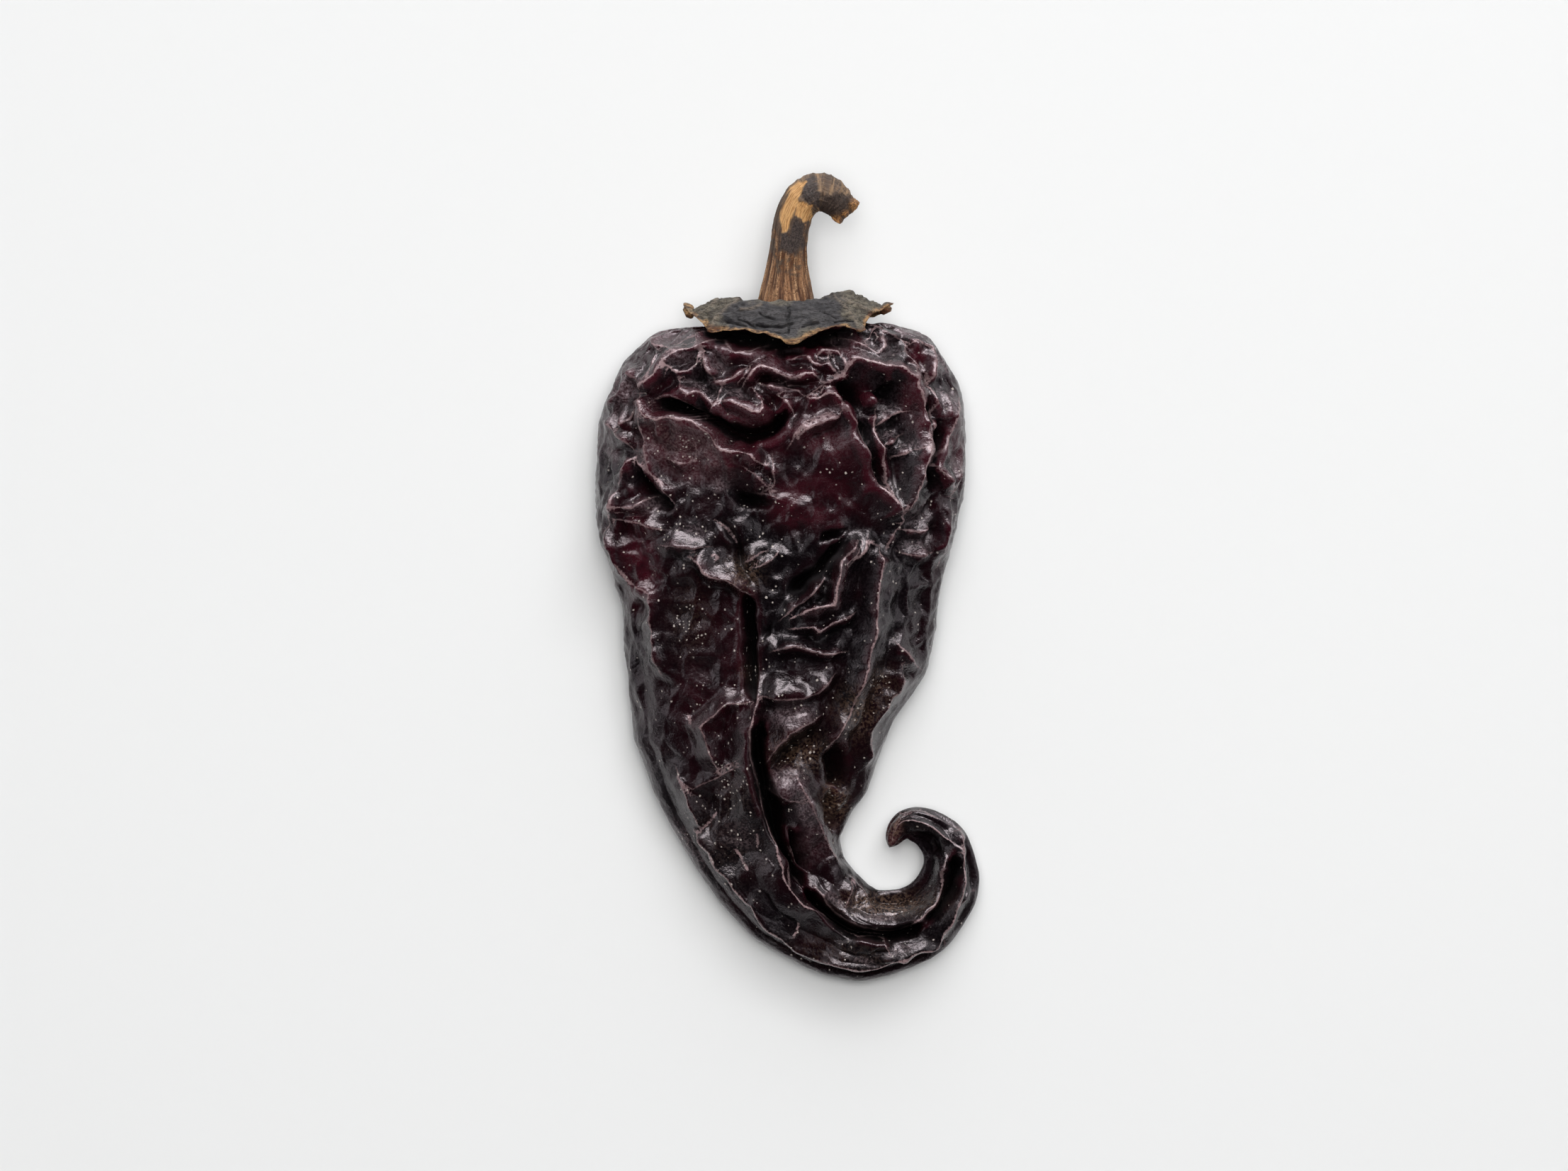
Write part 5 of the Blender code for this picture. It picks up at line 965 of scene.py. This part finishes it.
def makeStem():
    # radius = line radius + ribs, carried along the line; the end widens into a torn lip, nubs
    # radius exp(-(distance / size)^2) stand on it, and a low dome closes it
    rows, cols = stemLook["rows"], stemLook["cols"]
    foot, end = stemLook["foot"], stemLook["end"]
    along, around = gridPlaces(rows, cols)
    turn = around * 2.0 * np.pi
    share = ramp(along, foot, end - foot)
    centre, forward, side, rise, radius, length = stemFrame(share)
    outward = np.cos(turn)[:, None] * side + np.sin(turn)[:, None] * rise
    ring = stemLook["ringRadius"]
    circle = np.stack((np.cos(turn) * ring, np.sin(turn) * ring, share * length), axis=1)
    plan = (centre + radius[:, None] * outward)[:, :2]

    facing = np.clip(np.sin(turn) * 4.0 + 0.6, 0.0, 1.0)
    rough = 0.45 * layeredNoise(circle, *stemCells["rough"], 3)
    backPeel = ramp(layeredNoise(circle, *stemCells["backPeel"], 2), 0.75, 0.2)
    peel = stemPatches(plan, stemPeels, rough, "peel") * facing
    peel = np.maximum(peel, backPeel * (1.0 - facing))
    char = stemPatches(plan, stemChars, rough, "char") * facing * (1.0 - peel)
    # painted shadow on the underside of the curl at the stem's end
    bulbShade = stemPatches(plan, (stemBulbShade,), rough, "bulbShade") * ramp(share, *stemLook["bulbShadeRun"])
    relief = stemRibs(circle, turn, share) - stemLook["peelDepth"] * peel
    relief *= np.interp(along, (0.0, foot, end, 1.0), (0.0, 1.0, 1.0, 0.3))

    torn = layeredNoise(circle * np.array((1.0, 1.0, 0.0)), *stemCells["torn"], 3)
    nearEnd = ramp(share, *stemLook["endRun"])
    cap = ramp(along, end, 1.0 - end)
    nub = np.zeros(len(turn))
    for x, y, size, height in stemNubs:
        away = np.hypot(plan[:, 0] - x, plan[:, 1] - y)
        nub = np.maximum(nub, height * np.exp(-(away / size) ** 2) * nearEnd * (1.0 - cap) ** 2)
    radius = radius * (1.0 - stemLook["taper"] * ramp(share, *stemLook["taperRun"]) ** 2)
    radius = radius + nearEnd ** 2 * stemLook["lip"] * (0.4 + 0.6 * torn) + nub
    close = np.where(along < foot, along / foot, np.cos(0.5 * np.pi * cap))
    spots = centre + ((radius + relief) * close)[:, None] * outward
    arcs = stemLook["arcs"] * np.cos(26.0 * cap + 2.0 * torn) * np.clip(cap * 6.0, 0.0, 1.0)
    reach = (nearEnd ** 2 * stemLook["torn"] * np.maximum(torn, -0.3) + arcs) * (1.0 - cap)
    spots += forward * (reach + np.sin(0.5 * np.pi * cap) * stemLook["dome"])[:, None]
    # the dark field at the end holds the painted shadow under the curl and also covers the end's face
    fields = {"peel": peel, "char": char, "straight": circle, "rib": relief, "share": share,
              "tornRim": np.clip(nub * 3.0, 0.0, 1.0), "bulbShade": np.maximum(bulbShade, np.clip(cap * 4.0, 0.0, 1.0))}
    return gridPiece("stemBark", spots, rows, cols, fields)


calyx = makeCalyx()
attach(calyx, "root")
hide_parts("calyx")
stem = makeStem()
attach(stem, "root")
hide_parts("stem")


# materials

def newMaterial(name):
    # an empty material, its tree of nodes and its shader
    material = bpy.data.materials.new(name)
    material.use_nodes = True
    return material, material.node_tree, material.node_tree.nodes["Principled BSDF"]


def fill(tree, socket, value):
    # puts a link, a colour of three numbers or a plain number into a socket
    if isinstance(value, bpy.types.NodeSocket):
        tree.links.new(value, socket)
    elif isinstance(value, tuple):
        socket.default_value = (*value, 1.0)
    else:
        socket.default_value = value


def colourMix(tree, factor, first, second):
    # first (1 - factor) + second factor
    node = tree.nodes.new("ShaderNodeMix")
    node.data_type = "RGBA"
    for k, value in ((0, factor), (6, first), (7, second)):
        fill(tree, node.inputs[k], value)
    return node.outputs[2]


def maths(tree, operation, *values, clamp=False):
    # one operation of a Math node on one or two values, kept from 0 to 1 where it is clamped
    node = tree.nodes.new("ShaderNodeMath")
    node.operation = operation
    node.use_clamp = clamp
    for socket, value in zip(node.inputs, values):
        fill(tree, socket, value)
    return node.outputs[0]


def times(tree, first, second):
    # first times second
    return maths(tree, "MULTIPLY", first, second)


def plus(tree, first, second, clamp=False):
    # first plus second
    return maths(tree, "ADD", first, second, clamp=clamp)


def remap(tree, value, low, high, toLow=0.0, toHigh=1.0):
    # 3t^2 - 2t^3 with t = (value - low) / (high - low), spread from toLow to toHigh
    node = tree.nodes.new("ShaderNodeMapRange")
    node.interpolation_type = "SMOOTHSTEP"
    tree.links.new(value, node.inputs[0])
    for k, number in enumerate((low, high, toLow, toHigh)):
        node.inputs[k + 1].default_value = number
    return node.outputs[0]


def noiseField(tree, coords, scale, detail, roughness):
    # cloudy noise around 0.5, the scale being its waves per unit of the coordinates
    node = tree.nodes.new("ShaderNodeTexNoise")
    node.inputs["Scale"].default_value = scale
    node.inputs["Detail"].default_value = detail
    node.inputs["Roughness"].default_value = roughness
    tree.links.new(coords, node.inputs["Vector"])
    return node.outputs["Fac"]


def stretched(tree, coords, scale):
    # coordinates times a scale for each axis, so a pattern is drawn out where the scale is small
    node = tree.nodes.new("ShaderNodeMapping")
    node.inputs["Scale"].default_value = scale
    tree.links.new(coords, node.inputs["Vector"])
    return node.outputs[0]


def attributeField(tree, name, output="Fac"):
    # one of the fields that gridPiece stored on the skin
    node = tree.nodes.new("ShaderNodeAttribute")
    node.attribute_name = name
    return node.outputs[output]


def addBump(tree, shader, height, strength, depth):
    # turns the shading as if the skin rose by height times depth, in metres
    bump = tree.nodes.new("ShaderNodeBump")
    bump.inputs["Strength"].default_value = strength
    bump.inputs["Distance"].default_value = depth
    tree.links.new(height, bump.inputs["Height"])
    tree.links.new(bump.outputs["Normal"], shader.inputs["Normal"])


podFinish = {
    "black": (0.0022, 0.0012, 0.0019), "burgundy": (0.019, 0.0022, 0.0046), "raised": (0.050, 0.006, 0.012),
    "blush": (0.044, 0.0045, 0.0095), "bloom": (0.085, 0.062, 0.070), "frostAndHighlight": (0.230, 0.170, 0.185),
    "pale": (0.300, 0.200, 0.205), "paintedShade": (0.001, 0.001, 0.001), "sheen": (1.0, 0.89, 0.94),
    "speck": (0.500, 0.440, 0.400), "dust": (0.190, 0.115, 0.075),
    "broadWaves": 70.0, "midWaves": 260.0, "fineWaves": 2000.0, "speckWaves": 1800.0,  # per metre
    "bump": 0.6, "bumpDepth": 0.0002,
}


def podSpecks(tree, coords, mid, fine):
    # dots in jittered cells, where chance + speck share passes a limit, of uneven size and outline
    cells = tree.nodes.new("ShaderNodeTexVoronoi")
    cells.inputs["Scale"].default_value = podFinish["speckWaves"]
    tree.links.new(coords, cells.inputs["Vector"])
    chance = tree.nodes.new("ShaderNodeSeparateColor")
    tree.links.new(cells.outputs["Color"], chance.inputs[0])
    apart = plus(tree, cells.outputs["Distance"], remap(tree, chance.outputs[1], 0.0, 1.0, -0.10, 0.22))
    apart = plus(tree, apart, remap(tree, fine, 0.3, 0.7, 0.10, -0.10))
    likely = times(tree, attributeField(tree, "specks"), remap(tree, mid, 0.42, 0.62, 0.15, 0.75))
    chosen = remap(tree, plus(tree, chance.outputs[0], likely), 0.95, 1.0)
    return times(tree, times(tree, remap(tree, apart, 0.36, 0.20), chosen), 0.85)


def podMaterial():
    # near-black skin, mixed in turn with each tint by its own field times some noise
    look = podFinish
    material, tree, shader = newMaterial("podSkin")
    coords = tree.nodes.new("ShaderNodeTexCoord").outputs["Object"]
    broad = noiseField(tree, coords, look["broadWaves"], 3.0, 0.55)
    mid = noiseField(tree, coords, look["midWaves"], 4.0, 0.6)
    fine = noiseField(tree, coords, look["fineWaves"], 3.0, 0.6)
    cavity = attributeField(tree, "cavity")
    dark = attributeField(tree, "dark")

    # red and powder grow from the tail to the shoulder, and leave out the patches of painted shade
    split = tree.nodes.new("ShaderNodeSeparateXYZ")
    tree.links.new(coords, split.inputs[0])
    plain = maths(tree, "SUBTRACT", 1.0, attributeField(tree, "shade"))
    shoulder = times(tree, remap(tree, split.outputs["Y"], -0.012, 0.032, 0.35, 1.0), plain)
    burgundy = times(tree, remap(tree, broad, 0.40, 0.60), remap(tree, mid, 0.25, 0.7, 0.35, 1.0))
    base = colourMix(tree, times(tree, burgundy, shoulder), look["black"], look["burgundy"])
    raised = times(tree, remap(tree, cavity, 0.15, 1.0, 0.0, 0.8), shoulder)
    base = colourMix(tree, raised, base, look["raised"])
    blush = times(tree, attributeField(tree, "blush"), remap(tree, mid, 0.3, 0.6, 0.3, 1.0))
    base = colourMix(tree, blush, base, look["blush"])
    powder = times(tree, remap(tree, broad, 0.58, 0.42, 0.01, 0.22), shoulder)
    powder = times(tree, powder, remap(tree, fine, 0.44, 0.62, 0.1, 0.8))
    base = colourMix(tree, powder, base, look["bloom"])
    # painted highlight: the bloom patches lay pale frost over facets turned to the light, over real frosty
    # bloom too
    frostAndHighlight = times(tree, attributeField(tree, "bloom"), remap(tree, fine, 0.42, 0.60, 0.15, 0.9))
    frostAndHighlight = times(tree, frostAndHighlight, remap(tree, mid, 0.32, 0.58, 0.35, 0.85))
    base = colourMix(tree, frostAndHighlight, base, look["frostAndHighlight"])

    # pale lines along the crests, and pale scratches and painted highlights on lit slivers, all with frayed
    # edges
    away = maths(tree, "ABSOLUTE", attributeField(tree, "offset"))
    away = plus(tree, away, remap(tree, fine, 0.3, 0.7, 0.10, -0.06))
    line = times(tree, attributeField(tree, "ridge"), remap(tree, away, 0.19, 0.06))
    line = times(tree, line, remap(tree, mid, 0.34, 0.60, 0.30, 1.0))
    base = colourMix(tree, line, base, look["pale"])
    scratchAndGlint = plus(tree, attributeField(tree, "scratchAndGlint"), remap(tree, fine, 0.3, 0.7, 0.12, -0.08))
    scratchAndGlint = times(tree, remap(tree, scratchAndGlint, 0.34, 0.14), remap(tree, mid, 0.36, 0.52, 0.15, 0.75))
    base = colourMix(tree, scratchAndGlint, base, look["pale"])

    # dust, painted shade darkening hollows and creases, specks
    dusty = times(tree, attributeField(tree, "dust"), remap(tree, fine, 0.40, 0.62))
    base = colourMix(tree, times(tree, dusty, 0.8), base, look["dust"])
    # painted shade: hollows and creases darkened towards near black
    sunk = remap(tree, cavity, -0.4, -1.8, 0.0, 0.75)
    base = colourMix(tree, maths(tree, "MAXIMUM", sunk, dark), base, look["paintedShade"])
    base = colourMix(tree, podSpecks(tree, coords, mid, fine), base, look["speck"])
    tree.links.new(base, shader.inputs["Base Color"])

    # a soft gloss, duller in creases and hollows
    rough = plus(tree, remap(tree, mid, 0.3, 0.7, 0.21, 0.28), remap(tree, fine, 0.3, 0.7, -0.02, 0.04))
    rough = plus(tree, rough, times(tree, dark, 0.5), clamp=True)
    rough = plus(tree, rough, times(tree, sunk, 0.2), clamp=True)
    tree.links.new(rough, shader.inputs["Roughness"])
    shader.inputs["Specular IOR Level"].default_value = 0.64
    shader.inputs["Specular Tint"].default_value = look["sheen"] + (1.0,)
    addBump(tree, shader, plus(tree, fine, times(tree, mid, 2.0)), look["bump"], look["bumpDepth"])
    return material


calyxFinish = {
    "middle": (0.080, 0.074, 0.077), "middleDark": (0.017, 0.015, 0.018),
    "lobe": (0.190, 0.165, 0.125), "lobeDark": (0.070, 0.056, 0.042),
    "rim": (0.440, 0.260, 0.120), "rimDark": (0.120, 0.045, 0.018),
    "rib": (0.28, 0.22, 0.17), "crack": (0.006, 0.005, 0.006), "grain": (0.015, 0.012, 0.012),
    "broadWaves": 180.0, "mottleWaves": 330.0, "fineWaves": 1500.0, "drawnOut": (1.0, 2.6, 1.6),
    "bump": 0.7, "bumpDepth": 0.0004,
}


def calyxMaterial():
    # mottled grey middle, olive lobes and a tan rim, parted by their distances plus some noise
    look = calyxFinish
    material, tree, shader = newMaterial("calyxSkin")
    coords = tree.nodes.new("ShaderNodeTexCoord").outputs["Object"]
    drawnOut = stretched(tree, coords, look["drawnOut"])
    mottle = noiseField(tree, drawnOut, look["mottleWaves"], 4.0, 0.65)
    fine = noiseField(tree, drawnOut, look["fineWaves"], 4.0, 0.65)
    broad = noiseField(tree, coords, look["broadWaves"], 3.0, 0.55)
    middle = colourMix(tree, remap(tree, mottle, 0.35, 0.62), look["middleDark"], look["middle"])
    lobe = colourMix(tree, remap(tree, mottle, 0.35, 0.62), look["lobeDark"], look["lobe"])
    rim = colourMix(tree, remap(tree, mottle, 0.40, 0.60), look["rimDark"], look["rim"])
    centre = plus(tree, attributeField(tree, "centre"), remap(tree, broad, 0.3, 0.7, -2.0, 2.0))
    base = colourMix(tree, remap(tree, centre, -1.1, 1.2), lobe, middle)
    base = colourMix(tree, times(tree, attributeField(tree, "pale"), 0.5), base, look["rib"])
    edge = plus(tree, attributeField(tree, "rimAway"), remap(tree, broad, 0.3, 0.7, -0.5, 0.5))
    base = colourMix(tree, remap(tree, edge, 0.95, 0.35), base, rim)
    # painted shade: the cracks darkened to near black
    base = colourMix(tree, remap(tree, attributeField(tree, "crack"), 0.2, 0.8), base, look["crack"])
    base = colourMix(tree, remap(tree, fine, 0.54, 0.38, 0.0, 0.75), base, look["grain"])
    tree.links.new(base, shader.inputs["Base Color"])
    tree.links.new(remap(tree, mottle, 0.3, 0.7, 0.62, 0.85), shader.inputs["Roughness"])
    shader.inputs["Specular IOR Level"].default_value = 0.35
    addBump(tree, shader, plus(tree, fine, times(tree, mottle, 1.5)), look["bump"], look["bumpDepth"])
    return material


stemFinish = {
    "bark": (0.300, 0.145, 0.068), "barkDark": (0.075, 0.028, 0.013), "grooveShade": (0.034, 0.014, 0.009),
    "fibre": (0.560, 0.330, 0.175), "worn": (0.110, 0.080, 0.060), "wornDark": (0.050, 0.032, 0.024),
    "ring": (0.300, 0.190, 0.110), "char": (0.095, 0.070, 0.062), "charDark": (0.030, 0.022, 0.020),
    "peel": (0.700, 0.400, 0.165), "peelDark": (0.420, 0.200, 0.070),
    "bulbShade": (0.085, 0.058, 0.046), "bulbShadeDark": (0.026, 0.017, 0.014),
    "tornRim": (0.450, 0.220, 0.080), "tornRimDark": (0.100, 0.040, 0.015),
    "alongStem": (1.0, 1.0, 0.12), "roundStem": (0.14, 0.14, 1.6),
    "streakWaves": 1.5, "fineStreakWaves": 5.0, "blotchWaves": 0.6, "grainWaves": 4.0,  # per millimetre
    "ringWaves": 1.6,
    "bump": 0.7, "bumpDepth": 0.00025,
}


def stemMaterial():
    # ribbed bark on unrolled coordinates, worn at the foot, then each patch laid over it by its field
    look = stemFinish
    material, tree, shader = newMaterial("stemBark")
    straight = attributeField(tree, "straight", "Vector")
    alongStem = stretched(tree, straight, look["alongStem"])
    streak = noiseField(tree, alongStem, look["streakWaves"], 4.0, 0.65)
    fineStreak = noiseField(tree, alongStem, look["fineStreakWaves"], 4.0, 0.6)
    blotch = noiseField(tree, straight, look["blotchWaves"], 4.0, 0.6)
    grain = noiseField(tree, straight, look["grainWaves"], 4.0, 0.65)
    roundStem = stretched(tree, straight, look["roundStem"])
    rings = noiseField(tree, roundStem, look["ringWaves"], 4.0, 0.6)
    rib = attributeField(tree, "rib")
    share = attributeField(tree, "share")

    base = colourMix(tree, remap(tree, streak, 0.38, 0.60), look["barkDark"], look["bark"])
    onRib = times(tree, remap(tree, rib, -0.06, 0.12), remap(tree, fineStreak, 0.40, 0.56))
    onRib = times(tree, onRib, remap(tree, grain, 0.34, 0.50, 0.2, 1.0))
    base = colourMix(tree, onRib, base, look["fibre"])
    # painted shade: the grooves between the ribs darkened
    base = colourMix(tree, remap(tree, rib, -0.03, -0.16, 0.0, 0.75), base, look["grooveShade"])
    base = colourMix(tree, remap(tree, grain, 0.50, 0.36, 0.0, 0.85), base, look["barkDark"])
    worn = plus(tree, share, remap(tree, blotch, 0.3, 0.7, -0.22, 0.22))
    wornTone = colourMix(tree, remap(tree, fineStreak, 0.35, 0.65), look["wornDark"], look["worn"])
    base = colourMix(tree, remap(tree, worn, 0.26, 0.50, 0.0, 0.85), base, wornTone)
    ringed = times(tree, remap(tree, share, 0.64, 0.74), remap(tree, rings, 0.44, 0.58))
    base = colourMix(tree, ringed, base, look["ring"])

    # patches in the order that they lie over each other, each mottled between two noise values; the bulb
    # patch is a painted shadow under the curl at the stem's end
    for patch, mottle, low, high in (("char", grain, 0.4, 0.62), ("peel", fineStreak, 0.40, 0.54),
                                     ("bulbShade", grain, 0.38, 0.62), ("tornRim", grain, 0.4, 0.6)):
        tone = colourMix(tree, remap(tree, mottle, low, high), look[patch + "Dark"], look[patch])
        base = colourMix(tree, attributeField(tree, patch), base, tone)
    tree.links.new(base, shader.inputs["Base Color"])
    tree.links.new(remap(tree, grain, 0.3, 0.7, 0.60, 0.82), shader.inputs["Roughness"])
    shader.inputs["Specular IOR Level"].default_value = 0.35
    addBump(tree, shader, plus(tree, grain, fineStreak), look["bump"], look["bumpDepth"])
    return material


pod.data.materials.append(podMaterial())
calyx.data.materials.append(calyxMaterial())
stem.data.materials.append(stemMaterial())
print("materials", len(bpy.data.materials))


# stage, light and camera

# the floor and the camera: metres, millimetres of lens and sensor, and the photo's pixels
stageLook = {"floorWidth": 4.0, "floorColour": (0.86, 0.86, 0.86), "floorRoughness": 0.9,
             "lens": 150.0, "sensor": 36.0, "farthest": 20.0, "focusHeight": 0.010,
             "photoWidth": 2213, "photoHeight": 1652, "pixelsPerMm": 8.0, "originPixel": (1113.0, 816.0)}

# area lights: name, place, width and height, watts, colour, seen in gloss, seen in matt colour
lightLook = (
    ("key", (0.12, 1.20, 0.62), (1.2, 0.6), 24.0, (1.0, 0.99, 0.98), True, False),
    ("stemSide", (0.05, 1.35, 0.36), (2.2, 0.7), 12.0, (0.97, 0.98, 1.0), True, False),
    ("left", (-1.2, 0.15, 0.65), (0.8, 0.7), 2.6, (0.97, 0.98, 1.0), True, False),
    ("right", (1.2, 0.25, 0.65), (0.8, 0.7), 2.2, (0.97, 0.98, 1.0), True, False),
    ("overhead", (0.15, 0.48, 1.08), (0.9, 0.9), 9.4, (0.995, 1.0, 1.0), False, True),
    ("fill", (0.0, 0.05, 1.5), (0.5, 0.5), 9.4, (1.0, 0.998, 0.985), False, True),
)
lightTarget = (0.0, 0.0, 0.01)

surround = {"colour": (0.95, 0.97, 1.0), "zenith": 0.010, "ring": 0.34,
            "glow": 0.8, "towards": (0.10, 0.88, 0.46)}


def makeFloor():
    # one square about the origin
    half = stageLook["floorWidth"] / 2.0
    corners = [(-half, -half, 0), (half, -half, 0), (half, half, 0), (-half, half, 0)]
    mesh = bpy.data.meshes.new("floor")
    mesh.from_pydata(corners, [], [(0, 1, 2, 3)])
    floor = bpy.data.objects.new("floor", mesh)
    bpy.context.scene.collection.objects.link(floor)
    material, tree, shader = newMaterial("floorPaper")
    fill(tree, shader.inputs["Base Color"], stageLook["floorColour"])
    shader.inputs["Roughness"].default_value = stageLook["floorRoughness"]
    shader.inputs["Specular IOR Level"].default_value = 0.2
    mesh.materials.append(material)


def makeLight(name, place, size, power, colour, inGloss, inMatt):
    # tilt = atan(level distance / height) and turn = atan(y / x) aim an area light at the object
    data = bpy.data.lights.new(name, "AREA")
    data.shape = "RECTANGLE"
    data.size, data.size_y = size
    data.energy = power
    data.color = colour
    lamp = bpy.data.objects.new(name, data)
    lamp.location = place
    lamp.visible_glossy = inGloss
    lamp.visible_diffuse = inMatt
    x, y, z = np.array(lightTarget) - np.array(place)
    lamp.rotation_euler = (math.atan2(math.hypot(x, y), -z), 0.0, math.atan2(y, x) - math.pi / 2.0)
    bpy.context.scene.collection.objects.link(lamp)


def makeWorld():
    # strength = zenith + ring near the horizon, weaker on the tail's side, + a wide soft glow
    world = bpy.data.worlds.new("surround")
    world.use_nodes = True
    tree = world.node_tree
    back = tree.nodes["Background"]
    fill(tree, back.inputs["Color"], surround["colour"])
    ray = tree.nodes.new("ShaderNodeTexCoord").outputs["Generated"]
    split = tree.nodes.new("ShaderNodeSeparateXYZ")
    tree.links.new(ray, split.inputs[0])
    low = remap(tree, split.outputs["Z"], 0.50, 0.12)
    stemSide = remap(tree, split.outputs["Y"], -0.8, 0.8, 0.45, 1.0)
    ring = times(tree, times(tree, low, stemSide), surround["ring"])
    towards = tree.nodes.new("ShaderNodeVectorMath")
    towards.operation = "DOT_PRODUCT"
    tree.links.new(ray, towards.inputs[0])
    towards.inputs[1].default_value = surround["towards"]
    glow = remap(tree, towards.outputs["Value"], 0.72, 0.97, 0.0, surround["glow"])
    strength = plus(tree, plus(tree, ring, glow), surround["zenith"])
    tree.links.new(strength, back.inputs["Strength"])
    bpy.context.scene.world = world


def makeCamera():
    # straight down from width lens / sensor above the focus, so that the photo's scale holds there
    pixel = mm / stageLook["pixelsPerMm"]
    photo = np.array((stageLook["photoWidth"], stageLook["photoHeight"]))
    data = bpy.data.cameras.new("camera")
    data.lens = stageLook["lens"]
    data.sensor_width = stageLook["sensor"]
    data.clip_end = stageLook["farthest"]
    away = photo[0] * pixel * stageLook["lens"] / stageLook["sensor"]
    right, down = (photo / 2.0 - np.array(stageLook["originPixel"])) * pixel
    camera = bpy.data.objects.new("camera", data)
    camera.location = (right, -down, stageLook["focusHeight"] + away)
    bpy.context.scene.collection.objects.link(camera)
    bpy.context.scene.camera = camera


makeFloor()
for light in lightLook:
    makeLight(*light)
makeWorld()
makeCamera()
bpy.context.scene.view_settings.view_transform = "Standard"
print("lights", len(lightLook), "camera height m", round(bpy.context.scene.camera.location.z, 3))
